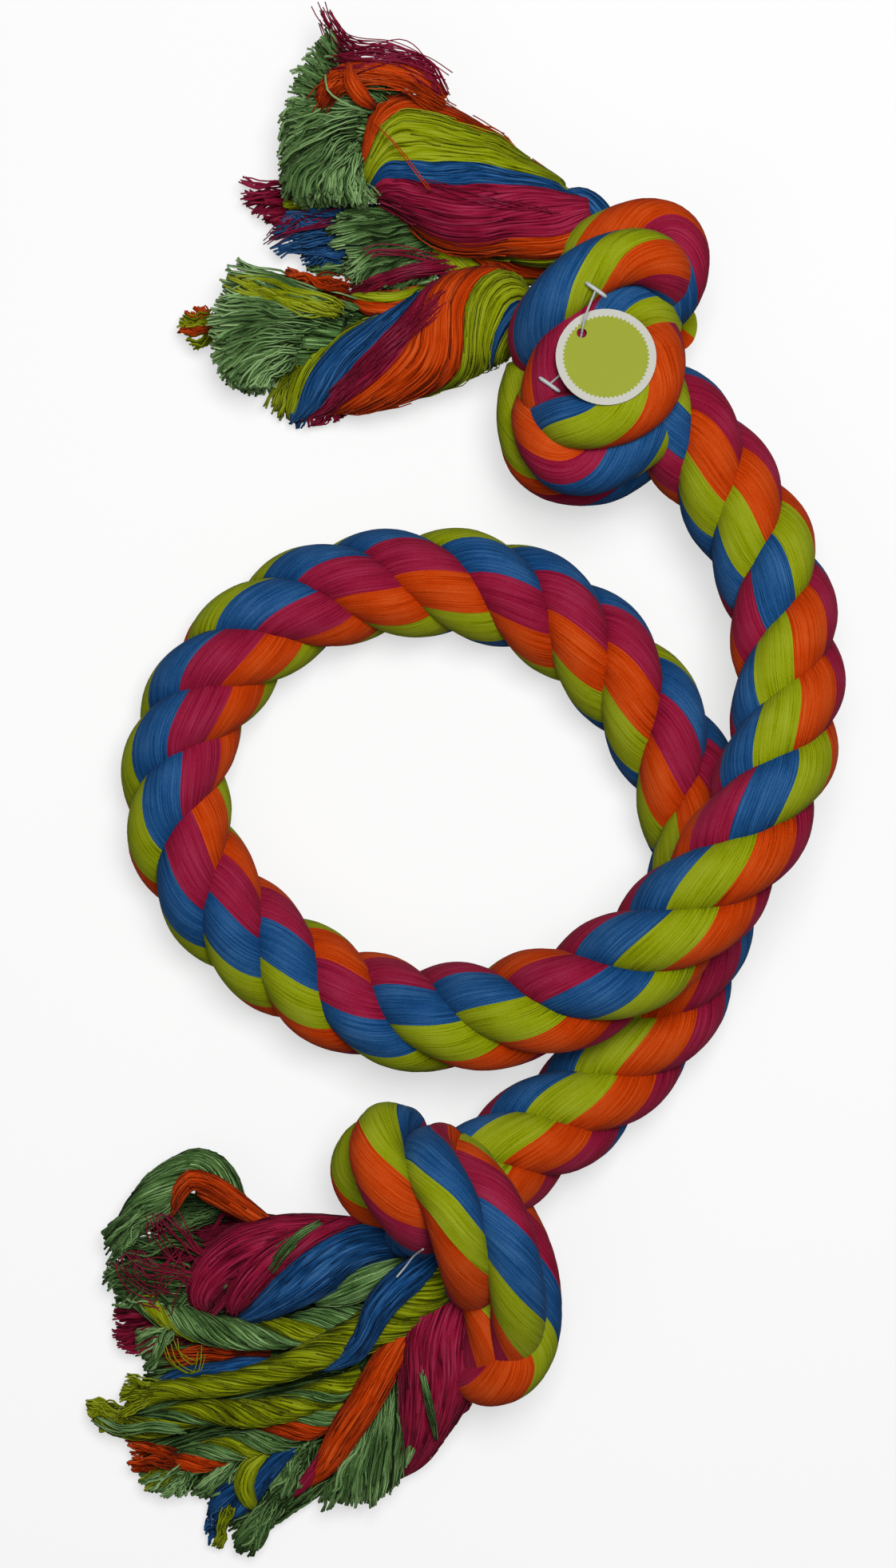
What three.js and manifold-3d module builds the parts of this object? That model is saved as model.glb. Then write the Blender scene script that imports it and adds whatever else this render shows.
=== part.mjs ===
// Rope dog toy: a thick three-strand rope laid in one loop, knotted at both ends, with brushed-out
// tassels and a round hang tag. Millimetres, +Z up, standing on z = 0, seen from above as it lies.
import * as THREE from 'three';
import { mergeVertices } from 'three/addons/utils/BufferGeometryUtils.js';
import Module from 'manifold-3d';

const wasm = await Module();
wasm.setup();

// Driving dimensions
const STRAND_DIAMETER = 17.4;
const LAY_RADIUS = 13.7;
const LAY_PITCH = 88;
const LAY_PHASE = 0.0;
const STRAND_COUNT = 3;
const STEPS_PER_TURN = 8;
const KNOT_STRAND_DIAMETER = 22.4;
const STRAND_SIDES = 8;
const LOCK_SIDES = 8;
const FLAT_DEPTH = 1.8;
const CLEARANCE = 0.3;
const BUNDLE_CLEARANCE = 0.8;
const END_CLEARANCE = 3;
const END_HEIGHT = 120;
const FLEX_LENGTH = 60;
const UPPER_FLEX_MIDDLE = 172;
const LOWER_FLEX_MIDDLE = 957;
const TAG_DIAMETER = 39.5;
const TAG_THICKNESS = 0.8;
const TAG_HOLE_DIAMETER = 4;
const TAG_HOLE_OFFSET = 13.6;
const TAG_TILT = 12;
const TAG_SIDES = 12;
const PIN_THREAD_DIAMETER = 0.8;
const PIN_BAR_LENGTH = 10;
const PIN_BAR_DIAMETER = 1.6;
const PIN_STEPS = 10;
const PIN_SIDES = 6;

// The rope's middle line from tassel to tassel: through the upper knot, over itself, round, and
// through the lower knot.
const ROPE_REST = STRAND_DIAMETER / 2 + LAY_RADIUS - FLAT_DEPTH;
const ROPE_ROUTE = [
  [38, 192, 36], [53, 174, 38], [70, 156, 39], [89, 140, 38], [103.5, 121, 37], [115.5, 101, 38],
  [124, 79, 42], [128, 56, 48], [128, 34, 54], [124, 11.5, 60], [115.5, -10.5, 65],
  [103.5, -31.5, 67], [87.5, -50.5, 67], [68, -67.5, 63], [45.5, -81.5, 56], [21, -90, 46.5],
  [-4, -94, 36.5], [-29, -93, 27.5],
  [-53, -85.5, 22], [-75.5, -72, ROPE_REST], [-95, -55.5, ROPE_REST], [-110, -35, ROPE_REST],
  [-118, -12, ROPE_REST], [-117, 12.5, ROPE_REST], [-108.5, 34, ROPE_REST], [-93.5, 53.5, ROPE_REST],
  [-74, 69.5, ROPE_REST], [-50, 79, ROPE_REST], [-24, 82, ROPE_REST], [2, 81, ROPE_REST],
  [25.5, 74, ROPE_REST], [46.5, 60.5, ROPE_REST], [64.5, 42.5, ROPE_REST], [79.5, 21, ROPE_REST],
  [90, -2, ROPE_REST], [95, -26, ROPE_REST], [95.5, -50, ROPE_REST], [90.5, -72.5, ROPE_REST],
  [79.5, -94, ROPE_REST], [64.5, -112.5, ROPE_REST], [47, -129.5, 22], [27, -143.5, 26], [9, -156, 32],
  [-5, -170, 36], [-13, -187, 34],
];

// Turns of the strands in each knot, front turns first. Each keeps its shape and the later ones yield to it.
const UPPER_KNOT_TURNS = [
  [[29.5, 172.5, 36], [27.5, 180, 50], [33.5, 189.5, 62], [43, 198.5, 67], [56.5, 206, 68], [70.5, 208, 67],
    [81, 203.5, 62], [83.5, 196.5, 52], [81, 192.5, 40]],
  [[31.5, 153, 42], [36, 146.5, 56], [43.5, 143.5, 66], [53.5, 143.5, 68], [64.5, 147.5, 68], [72.5, 155, 67],
    [75.5, 165, 64], [74.5, 176, 54], [71, 184, 42]],
  [[36.5, 149.5, 40], [32.5, 155, 53], [36, 166.5, 59], [45.5, 180.5, 60], [59, 188.5, 59], [70.5, 187.5, 54],
    [76, 180.5, 44]],
  [[28.5, 154.5, 40], [25.5, 145.5, 48], [28, 135, 54], [35.5, 127, 56], [48.5, 126, 56], [61.5, 131.5, 55],
    [71.5, 139.5, 52], [76, 149.5, 44]],
  [[47.5, 209.5, 38], [50, 214, 45], [57.5, 218.5, 49], [71, 222.5, 50], [81, 220, 51], [85.5, 212.5, 52],
    [85, 203, 51], [82, 195.5, 46], [78.5, 188.5, 38]],
  [[28.5, 165, 32], [26, 155, 34], [25.5, 144, 34], [30, 130.5, 34], [40.5, 124.5, 34], [55, 124.5, 34],
    [67, 131, 33], [77, 141, 32]],
  [[79, 213, 30], [67, 210.5, 16], [50.5, 202, 11], [38, 190.5, 14], [30, 179, 26]],
  [[84.5, 186.5, 30], [72.5, 185, 13], [56.5, 175.5, 11], [41, 163, 12], [31, 151.5, 22]],
  [[81.5, 160.5, 26], [70.5, 156, 12], [56.5, 148, 11], [44.5, 137, 15]],
];
const LOWER_KNOT_TURNS = [
  [[-14, -137, 40], [-17, -140.5, 55], [-13, -150.5, 69], [-7, -164, 73], [-3, -179.5, 71], [0.5, -195, 62],
    [4, -208, 46]],
  [[-25.5, -141, 36], [-33, -138.5, 50], [-35.5, -147, 62], [-30.5, -160, 67], [-22, -173, 62],
    [-16.5, -185, 46]],
  [[-2.5, -150.5, 40], [2, -156, 54], [10.5, -166.5, 64], [16.5, -181.5, 66], [19.5, -197.5, 62],
    [20.5, -213, 52], [18, -228, 38]],
  [[24.5, -188.5, 42], [26.5, -201.5, 44], [27, -214.5, 42], [24.5, -227.5, 40], [17, -236, 40],
    [9, -239.5, 38]],
  [[-30.5, -144.5, 30], [-39.5, -146.5, 33], [-44, -155, 34], [-39.5, -166, 32], [-30, -173, 28]],
  [[8.5, -205, 40], [11.5, -221.5, 42], [9, -235.5, 34]],
  [[-27, -148, 30], [-14, -152, 14], [2, -161, 11], [15, -174, 14], [21, -187, 30]],
  [[-39, -168, 26], [-27, -171, 12], [-11, -182.5, 11], [5, -197, 11], [18, -213, 18], [21, -222, 32]],
  [[-20, -194, 24], [-8, -207, 12], [5, -223, 11], [15, -232, 20]],
];

// A lock of yarn has stations: plan place, middle height, half width and half height.
const UPPER_LOCKS = {
  upper_cover_1: { body: 'upper_end_1', colour: '#a8b421', stations: [
    [40, 217.8, 36.8, 1.2, 1.2], [31, 225, 32, 11, 8], [22, 232, 28, 16, 13], [6, 240, 21, 19, 15],
    [-14, 248, 18, 21, 16], [-30, 254, 17, 21, 16], [-43, 257, 17, 19, 15]] },
  upper_brush_1: { body: 'upper_end_1', colour: '#6aa37a', stations: [
    [-42, 257, 18, 19, 14], [-54, 265, 18, 31, 16], [-66, 271.5, 18, 40, 16], [-76, 275, 17, 36, 13]] },
  upper_cover_2: { body: 'upper_end_2', colour: '#dd4d14', stations: [
    [21, 186.7, 28.1, 1.2, 1.2], [11, 188.5, 27, 11, 8], [3, 187, 26, 17, 13], [-9, 183, 21, 19, 15],
    [-28, 175, 18, 19, 15], [-46, 164, 15, 15, 13], [-60, 150, 11, 9, 9], [-68, 142, 8, 4, 5]] },
  upper_brush_2: { body: 'upper_end_2', colour: '#6aa37a', stations: [
    [-40, 182, 17, 16, 13], [-56, 185, 17, 23, 15], [-78, 187, 16, 26, 14], [-98, 186, 14, 24, 12],
    [-108, 185, 13, 18, 10]] },
  upper_cover_3: { body: 'upper_end_3', colour: '#97285a', stations: [
    [29.1, 197.4, 18.1, 1.2, 1.2], [21, 203, 16, 5, 7], [9, 209, 14, 7, 10], [-4, 211.5, 13, 8, 11],
    [-18, 213, 13, 11, 12]] },
  upper_brush_3: { body: 'upper_end_3', colour: '#6aa37a', stations: [
    [-17.5, 213, 13, 11, 11], [-32, 214.5, 13, 15, 12], [-52, 217, 12, 16, 11], [-66, 219, 11, 13, 9],
    [-80, 222, 9, 7, 7]] },
};
const LOWER_LOCKS = {
  lower_blue_lock: { body: 'lower_end_1', colour: '#2a66a8', stations: [
    [-19.1, -187.7, 30.2, 1.2, 1.2], [-27, -190.5, 24, 6, 4.5], [-38, -192, 20.5, 9.5, 8.5],
    [-53, -194.5, 19, 12, 12], [-69, -201, 17, 12, 12], [-86, -212, 12, 6, 9]] },
  lower_magenta_lock: { body: 'lower_end_1', colour: '#97285a', stations: [
    [-50, -176, 20, 5, 8], [-68, -182, 16, 12, 12], [-88, -193, 14, 15, 12], [-106, -205, 12, 9, 9]] },
  lower_green_curl: { body: 'lower_end_1', colour: '#6aa37a', stations: [
    [-84, -174, 15, 6, 8], [-94, -165, 14, 10, 11], [-105, -159, 14, 12, 12], [-120, -162, 13, 12, 11],
    [-134, -174, 11, 11, 9], [-143, -184, 9, 8, 7]] },
  lower_frayed_end: { body: 'lower_end_1', colour: '#6aa37a', stations: [
    [-104, -206, 12, 10, 10], [-122, -208, 11, 14, 10], [-138, -212, 9, 14, 8], [-148, -216, 8, 9, 6]] },
  lower_lime_cord: { body: 'lower_end_2', colour: '#9db41f', stations: [
    [-13.2, -199.3, 33.1, 1.2, 1.2], [-21, -204, 30, 8, 8], [-34, -214, 26, 11, 11], [-58, -231, 18, 11, 11],
    [-92, -245, 14, 11, 11], [-122, -251, 12, 10, 10], [-138, -256, 9, 6, 6]] },
  lower_green_cord: { body: 'lower_end_2', colour: '#6aa37a', stations: [
    [-44, -217, 14, 6, 9], [-66, -221, 13, 9, 10], [-84, -224, 12, 10, 10], [-108, -222, 11, 9, 9],
    [-128, -228, 10, 8, 8]] },
  lower_twisted_cord: { body: 'lower_end_2', colour: '#9db41f', stations: [
    [-52, -244, 14, 6, 9], [-74, -254, 13, 9, 10], [-104, -260, 12, 10, 10], [-130, -258, 10, 10, 9],
    [-152, -250, 8, 7, 6]] },
  lower_mixed_cord: { body: 'lower_end_2', colour: '#dd4d14', stations: [
    [-56, -258, 12, 7, 9], [-80, -267, 12, 10, 10], [-106, -274, 11, 10, 10], [-130, -279, 9, 8, 8]] },
  lower_blue_tips: { body: 'lower_end_2', colour: '#2a66a8', stations: [
    [-72, -276, 12, 7, 9], [-86, -287, 11, 10, 10], [-94, -300, 10, 11, 9], [-98, -311, 8, 8, 6]] },
  lower_magenta_sheet: { body: 'lower_end_3', colour: '#97285a', stations: [
    [-0.9, -211, 21.6, 1.2, 1.2], [-6, -218, 17.5, 6, 4.5], [-11, -227, 15.5, 9, 7.5],
    [-15, -242, 14, 13, 10], [-19, -262, 13, 13, 10], [-26, -280, 9, 5, 6]] },
  lower_orange_lock: { body: 'lower_end_3', colour: '#dd4d14', stations: [
    [-24, -219, 20, 4, 7], [-36, -239, 17, 8, 9], [-50, -260, 13, 9, 10], [-64, -282, 10, 6, 7]] },
  lower_green_fringe: { body: 'lower_end_3', colour: '#6aa37a', stations: [
    [-28, -244, 14, 6, 8], [-36, -262, 12, 11, 10], [-44, -280, 10, 13, 9], [-52, -294, 8, 12, 7]] },
};

// The tag's place and the pin's thread, from the bar on the knot through the hole to the bar below the card.
const TAG_CENTRE = [54.5, 167.5, 75.2];
const TAG_HOLE_BEARING = THREE.MathUtils.degToRad(134);
const PIN_ROUTE = [
  [51.7, 194.1, 79.2], [47.8, 184.5, 77], [45.6, 179.2, 75.2], [44.7, 176.1, 72.1], [43, 171.5, 71.5],
  [39, 163.5, 71.2], [32.5, 157.5, 68.2],
];
const PIN_BAR_BEARING = THREE.MathUtils.degToRad(-35);

const COLOURS = { rope: '#9a8a3c', turn: '#b0652c', card: '#f1f2ea', pin: '#e8eaea' };

// Solids from closed three.js geometry, and geometry back from solids.
function solidOf(geometry) {
  const bare = geometry.clone();
  bare.deleteAttribute('normal');
  bare.deleteAttribute('uv');
  const merged = mergeVertices(bare, 1e-4);
  const vertProperties = new Float32Array(merged.attributes.position.array);
  const triVerts = new Uint32Array(merged.index.array);
  return new wasm.Manifold(new wasm.Mesh({ numProp: 3, vertProperties, triVerts }));
}

function geometryOf(solid) {
  const { vertProperties, triVerts } = solid.getMesh();
  const geometry = new THREE.BufferGeometry();
  geometry.setAttribute('position', new THREE.BufferAttribute(new Float32Array(vertProperties), 3));
  geometry.setIndex(new THREE.BufferAttribute(new Uint32Array(triVerts), 1));
  geometry.computeVertexNormals();
  return geometry;
}

function polygon(radius, sides) {
  const corners = [];
  for (let k = 0; k < sides; k += 1) {
    const angle = (2 * Math.PI * (k + 0.5)) / sides;
    corners.push(new THREE.Vector2(radius * Math.cos(angle), radius * Math.sin(angle)));
  }
  return new THREE.Shape(corners);
}

function curveThrough(points) {
  return new THREE.CatmullRomCurve3(points.map((p) => new THREE.Vector3(...p)), false, 'centripetal');
}

function tube(curve, diameter, steps, sides = STRAND_SIDES) {
  const section = polygon(diameter / 2, sides);
  return new THREE.ExtrudeGeometry(section, { steps, extrudePath: curve, bevelEnabled: false });
}

// One strand of the rope between two places along the middle line, wound round it at the lay radius.
const route = curveThrough(ROPE_ROUTE);
route.arcLengthDivisions = 800;
const ROPE_LENGTH = route.getLength();
const UP = new THREE.Vector3(0, 0, 1);

function strandPoint(along, strand) {
  const middle = route.getPointAt(along / ROPE_LENGTH);
  const ahead = route.getTangentAt(along / ROPE_LENGTH);
  const side = new THREE.Vector3().crossVectors(ahead, UP).normalize();
  const over = new THREE.Vector3().crossVectors(side, ahead);
  const angle = 2 * Math.PI * (along / LAY_PITCH + strand / STRAND_COUNT + LAY_PHASE);
  return middle
    .addScaledVector(over, LAY_RADIUS * Math.cos(angle))
    .addScaledVector(side, LAY_RADIUS * Math.sin(angle));
}

function strandStretch(from, to, strand, diameter) {
  const steps = Math.ceil((STEPS_PER_TURN * (to - from)) / LAY_PITCH);
  const points = [];
  for (let k = 0; k <= steps; k += 1) {
    points.push(strandPoint(from + ((to - from) * k) / steps, strand));
  }
  return tube(new THREE.CatmullRomCurve3(points, false, 'centripetal'), diameter, steps);
}

// A lock of yarn: oval sections across the plan direction, joined station to station.
function lock(stations, spare) {
  const places = stations.map(([x, y]) => new THREE.Vector2(x, y));
  const positions = [];
  stations.forEach(([x, y, z, halfWidth, halfHeight], k) => {
    const before = places[Math.max(k - 1, 0)];
    const after = places[Math.min(k + 1, places.length - 1)];
    const ahead = new THREE.Vector2().subVectors(after, before).normalize();
    for (let j = 0; j < LOCK_SIDES; j += 1) {
      const angle = (2 * Math.PI * j) / LOCK_SIDES;
      const across = (halfWidth + spare) * Math.cos(angle);
      positions.push(x - ahead.y * across, y + ahead.x * across, z + (halfHeight + spare) * Math.sin(angle));
    }
  });
  const index = [];
  const last = (stations.length - 1) * LOCK_SIDES;
  for (let j = 0; j < LOCK_SIDES; j += 1) {
    const next = (j + 1) % LOCK_SIDES;
    for (let k = 0; k < stations.length - 1; k += 1) {
      const ring = k * LOCK_SIDES;
      const up = ring + LOCK_SIDES;
      index.push(ring + j, ring + next, up + next, ring + j, up + next, up + j);
    }
    if (j > 0 && j < LOCK_SIDES - 1) {
      index.push(0, j + 1, j);
      index.push(last, last + j, last + j + 1);
    }
  }
  const geometry = new THREE.BufferGeometry();
  geometry.setAttribute('position', new THREE.Float32BufferAttribute(positions, 3));
  geometry.setIndex(index);
  return geometry;
}

// Pieces in order of rank: each yields to those before it by a clearance, and to the floor.
const toy = new THREE.Group();
const placed = [];

function boxesMeet(a, b) {
  const first = a.boundingBox();
  const second = b.boundingBox();
  return [0, 1, 2].every((k) => first.min[k] < second.max[k] && second.min[k] < first.max[k]);
}

// Nothing of one tassel end lies over or under another end, so that each lifts by itself.
function shaft(solid) {
  return solid.project().offset(END_CLEARANCE, 'Round', 2, LOCK_SIDES).extrude(END_HEIGHT);
}

function place(name, make, colour, { body, lifts = false, roughness = 0.85 } = {}) {
  let solid = solidOf(make(0));
  for (const other of placed) {
    const room = other.body === body ? other.near : other.far;
    if (boxesMeet(solid, room)) {
      solid = solid.subtract(room);
    }
  }
  if (solid.boundingBox().min[2] < 0) {
    solid = solid.trimByPlane([0, 0, 1], 0);
  }
  const largest = solid.decompose().sort((a, b) => b.volume() - a.volume())[0];
  const far = lifts ? shaft(largest) : solidOf(make(BUNDLE_CLEARANCE));
  placed.push({ body, near: solidOf(make(CLEARANCE)), far });
  const material = new THREE.MeshStandardMaterial({ color: colour, roughness, metalness: 0 });
  const mesh = new THREE.Mesh(geometryOf(largest), material);
  mesh.name = name;
  toy.add(mesh);
}

// Knots: the turns that show on the front keep their full round.
function knot(prefix, turns) {
  turns.forEach((points, k) => {
    const curve = curveThrough(points);
    const steps = Math.ceil((2 * curve.getLength()) / KNOT_STRAND_DIAMETER);
    const make = (spare) => tube(curve, KNOT_STRAND_DIAMETER + 2 * spare, steps);
    place(`${prefix}_${k + 1}`, make, COLOURS.turn, { body: 'rope' });
  });
}

knot('upper_knot_turn', UPPER_KNOT_TURNS);
knot('lower_knot_turn', LOWER_KNOT_TURNS);

// Rope: each strand in five stretches that meet end to end.
const upperFlexEnd = UPPER_FLEX_MIDDLE + FLEX_LENGTH / 2;
const lowerFlexStart = LOWER_FLEX_MIDDLE - FLEX_LENGTH / 2;
const STRETCHES = [
  ['upper_tail_strand', 0, UPPER_FLEX_MIDDLE - FLEX_LENGTH / 2],
  ['upper_flex_strand', UPPER_FLEX_MIDDLE - FLEX_LENGTH / 2, upperFlexEnd],
  ['loop_strand', upperFlexEnd, lowerFlexStart],
  ['lower_flex_strand', lowerFlexStart, LOWER_FLEX_MIDDLE + FLEX_LENGTH / 2],
  ['lower_tail_strand', LOWER_FLEX_MIDDLE + FLEX_LENGTH / 2, ROPE_LENGTH],
];
for (const [prefix, from, to] of STRETCHES) {
  for (let strand = 0; strand < STRAND_COUNT; strand += 1) {
    const make = (spare) => strandStretch(
      from + CLEARANCE / 2, to - CLEARANCE / 2, strand, STRAND_DIAMETER + 2 * spare,
    );
    place(`${prefix}_${strand + 1}`, make, COLOURS.rope, { body: 'rope' });
  }
}

// Tassels: the locks of one strand end lift together.
function tassel(locks) {
  for (const [name, { body, colour, stations }] of Object.entries(locks)) {
    place(name, (spare) => lock(stations, spare), colour, { body, lifts: true, roughness: 0.9 });
  }
}

tassel(UPPER_LOCKS);
tassel(LOWER_LOCKS);

// Hang tag: a punched round card that leans on two front turns of the upper knot.
const tagTilt = THREE.MathUtils.degToRad(TAG_TILT);
const tagPlace = new THREE.Matrix4().makeRotationX(-tagTilt).setPosition(...TAG_CENTRE);

function card() {
  const outline = new THREE.Shape().absarc(0, 0, TAG_DIAMETER / 2, 0, 2 * Math.PI);
  const hole = new THREE.Path();
  const holeX = TAG_HOLE_OFFSET * Math.cos(TAG_HOLE_BEARING);
  const holeY = TAG_HOLE_OFFSET * Math.sin(TAG_HOLE_BEARING);
  hole.absarc(holeX, holeY, TAG_HOLE_DIAMETER / 2, 0, 2 * Math.PI);
  outline.holes.push(hole);
  const options = { depth: TAG_THICKNESS, bevelEnabled: false, curveSegments: TAG_SIDES };
  const geometry = new THREE.ExtrudeGeometry(outline, options);
  return geometry.translate(0, 0, -TAG_THICKNESS / 2).applyMatrix4(tagPlace);
}

place('tag_card', card, COLOURS.card, { body: 'tag', roughness: 0.6 });

// Tag pin: a thread through the hole with a cross bar at each end.
function bar(middle, bearing) {
  const reach = new THREE.Vector3(Math.cos(bearing), Math.sin(bearing), 0).multiplyScalar(PIN_BAR_LENGTH / 2);
  const centre = new THREE.Vector3(...middle);
  const line = new THREE.LineCurve3(centre.clone().sub(reach), centre.clone().add(reach));
  return solidOf(tube(line, PIN_BAR_DIAMETER, 1, PIN_SIDES));
}

function pin() {
  const thread = solidOf(tube(curveThrough(PIN_ROUTE), PIN_THREAD_DIAMETER, PIN_STEPS, PIN_SIDES));
  const first = bar(PIN_ROUTE[0], PIN_BAR_BEARING);
  const second = bar(PIN_ROUTE[PIN_ROUTE.length - 1], PIN_BAR_BEARING);
  return geometryOf(thread.add(first).add(second));
}

place('tag_pin', pin, COLOURS.pin, { body: 'rope', roughness: 0.3 });

export default toy;
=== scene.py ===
"""Yarn, knots, tassels and tag of a rope dog toy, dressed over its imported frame."""

import math

import bmesh
import bpy
import numpy as np
from bpy.props import FloatProperty, FloatVectorProperty, IntProperty, PointerProperty
from mathutils import Matrix, Vector


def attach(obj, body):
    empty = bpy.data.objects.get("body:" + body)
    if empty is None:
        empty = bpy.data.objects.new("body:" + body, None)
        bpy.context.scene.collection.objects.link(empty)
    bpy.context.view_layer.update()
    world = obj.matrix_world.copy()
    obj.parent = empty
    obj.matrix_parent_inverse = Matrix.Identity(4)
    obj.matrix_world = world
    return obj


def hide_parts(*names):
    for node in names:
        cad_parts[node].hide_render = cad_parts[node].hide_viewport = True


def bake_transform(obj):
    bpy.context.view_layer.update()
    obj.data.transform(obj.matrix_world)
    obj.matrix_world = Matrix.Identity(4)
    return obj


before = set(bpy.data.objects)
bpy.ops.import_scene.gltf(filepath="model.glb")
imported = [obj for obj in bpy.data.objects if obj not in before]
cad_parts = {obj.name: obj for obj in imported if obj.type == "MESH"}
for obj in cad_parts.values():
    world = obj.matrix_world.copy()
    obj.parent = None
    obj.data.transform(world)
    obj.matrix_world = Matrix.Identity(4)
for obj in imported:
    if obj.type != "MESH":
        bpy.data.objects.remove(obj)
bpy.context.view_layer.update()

bl_info = {
    "name": "Rope dog toy",
    "version": (1, 0, 0),
    "blender": (4, 5, 0),
    "location": "View3D > Sidebar > Rope toy",
    "description": "Dresses the frame of a rope dog toy with yarn, knots, tassels and a hang tag",
    "category": "Object",
}

MM = 0.001
UP = np.array([0.0, 0.0, 1.0])
MAGENTA, ORANGE, LIME, BLUE, CORE = range(5)
COVERS = [MAGENTA, ORANGE, LIME, BLUE]

# The picture looks straight down. The pixel over the frame's origin; then, in millimetres, a pixel at the
# height SEEN_AT, the picture's tall side there, the camera's height, its place to the side and its sensor.
ORIGIN_X, ORIGIN_Y = 584, 981.5
PIXEL, SEEN_AT, PICTURE_TALL = 0.325, 22, 637.98
EYE, EYE_X, SENSOR = 1500, -7.5, 36

# Millimetres between the rows of points along a strand, a combed lock, a loose thread, the pin and the cut-off
# thread.
STRAND_STEP, LOCK_STEP, WISP_STEP, PIN_STEP, CUT_STEP = 1.6, 2.2, 3.0, 0.6, 0.8
# Yarn is kept this far above the floor, in millimetres: strands and single yarns, and combed locks.
FLOOR, LOCK_FLOOR = 0.2, 0.25
# Neighbouring yarns of a brushed end that hang together, and how much paler their tips are than their roots:
# painted shade at the roots.
CLUMP, ROOT_SHADE = 6, 2.2
# Painted light and shade: how much darker than the crown the sides of strands and locks are, and the lay's
# valleys.
STRAND_SIDE_SHADE, LOCK_SIDE_SHADE, CROWN, VALLEY_SHADE = 3, 4, 0.8, 5
# In millimetres, the thickness of a stray thread on a lock and how far apart the maps of two strands lie.
STRAY_THICK, MAP_SHIFT = 0.55, 40

# The rope's middle line in millimetres, from the upper knot over itself and round to the lower knot.
REST = 20.6
ROPE_ROUTE = [
    (38, 192, 36), (53, 174, 38), (70, 156, 39), (89, 140, 38), (103.5, 121, 37), (115.5, 101, 38),
    (124, 79, 42), (128, 56, 48), (128, 34, 54), (124, 11.5, 60), (115.5, -10.5, 65),
    (103.5, -31.5, 67), (87.5, -50.5, 67), (68, -67.5, 63), (45.5, -81.5, 56), (21, -90, 46.5),
    (-4, -94, 36.5), (-29, -93, 27.5), (-53, -85.5, 22), (-75.5, -72, REST), (-95, -55.5, REST),
    (-110, -35, REST), (-118, -12, REST), (-117, 12.5, REST), (-108.5, 34, REST), (-93.5, 53.5, REST),
    (-74, 69.5, REST), (-50, 79, REST), (-24, 82, REST), (2, 81, REST), (25.5, 74, REST),
    (46.5, 60.5, REST), (64.5, 42.5, REST), (79.5, 21, REST), (90, -2, REST), (95, -26, REST),
    (95.5, -50, REST), (90.5, -72.5, REST), (79.5, -94, REST), (64.5, -112.5, REST), (47, -129.5, 22),
    (27, -143.5, 26), (9, -156, 32), (-5, -170, 36), (-13, -187, 34),
]
# The two lengths meet here, at the left of the loop, which neither bend moves.
ROPE_SPLIT = 546
# Rows to either side of there in which a strand may be cut.
SPLIT_ROWS = 30

# The lay, read along the rope: millimetres along, and how many strands have passed its top by there.
PASSED = [(0, -4), (115, 0), (234, 4), (336, 7), (440, 10), (531, 13), (620, 16), (713, 19), (806, 22),
          (997, 28), (1090, 31)]
# How far the covers of each strand have turned, in degrees, at places where it passes the top.
COVER_TURNS = [
    [(115, 185), (203, 195), (300, 235), (406, 280), (499, 345), (590, 385), (683, 430), (775, 455),
     (868, 490), (1060, 570)],
    [(143, 300), (234, 305), (336, 340), (440, 380), (531, 400), (620, 420), (713, 470), (806, 485),
     (997, 550)],
    [(86, 140), (173, 180), (265, 200), (371, 240), (469, 280), (560, 340), (652, 365), (743, 390),
     (836, 420), (1028, 535)],
]

# Turns that rise above this height, in millimetres, pass over the front of a knot, and the others behind it.
FRONT = 32
# Turns of the strands in each knot: its covers in their order, where each comes to the top, in millimetres
# along the turn and read off, with a fifth mark where the first comes round again, then the turn's points.
FROM_BLUE, FROM_LIME = (BLUE, LIME, ORANGE, MAGENTA), (LIME, ORANGE, MAGENTA, BLUE)
FROM_ORANGE, FROM_MAGENTA = (ORANGE, MAGENTA, BLUE, LIME), (MAGENTA, BLUE, LIME, ORANGE)
UPPER_TURNS = [
    (FROM_BLUE, (12, 48, 68, 90), [
        (29.5, 172.5, 36), (27.5, 180, 50), (33.5, 189.5, 62), (43, 198.5, 67), (56.5, 206, 68),
        (68.5, 208, 67), (76.5, 205, 62), (78.5, 200, 53), (73, 195.5, 42)]),
    (FROM_BLUE, (14, 31, 57, 92), [
        (31.5, 153, 42), (36, 146.5, 56), (43.5, 143.5, 66), (53.5, 143.5, 68), (64.5, 147.5, 67),
        (72.5, 155, 65), (75.5, 165, 62), (74.5, 176, 53), (71, 184, 42)]),
    (FROM_MAGENTA, (12, 50, 66, 85), [
        (36.5, 149.5, 40), (32.5, 155, 53), (36, 166.5, 59), (45.5, 180.5, 60), (59, 188.5, 59),
        (70.5, 187.5, 54), (76, 180.5, 44)]),
    (FROM_ORANGE, (16, 36, 50, 80), [
        (31, 154.5, 40), (29, 146, 48), (31.5, 135.5, 54), (38, 127.5, 56), (48.5, 126, 56),
        (61.5, 131.5, 55), (71.5, 139.5, 52), (76, 149.5, 44)]),
    (FROM_ORANGE, (8, 36, 54, 68), [
        (47.5, 209.5, 38), (50, 214, 45), (57.5, 218.5, 49), (71, 222.5, 50), (81, 220, 51),
        (85.5, 212.5, 52), (85, 203, 51), (82, 195.5, 46), (76, 190, 36)]),
    (FROM_LIME, (8, 50, 62, 78), [
        (27, 166, 32), (24, 156, 34), (23.5, 144, 34), (28, 130.5, 34), (39.5, 124, 34),
        (55, 124.5, 34), (67, 131, 33), (77, 141, 32)]),
    (FROM_BLUE, (10, 31, 52), [
        (79, 213, 30), (67, 210.5, 16), (50.5, 202, 11.6), (38, 190.5, 14), (30, 179, 26)]),
    (FROM_ORANGE, (8, 30, 50), [
        (84.5, 186.5, 30), (72.5, 185, 13), (56.5, 175.5, 11.6), (41, 163, 12), (31, 151.5, 22)]),
    (FROM_LIME, (5, 27, 48), [(81.5, 160.5, 26), (70.5, 156, 12), (56.5, 148, 11.6), (44.5, 137, 15)]),
]
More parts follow.
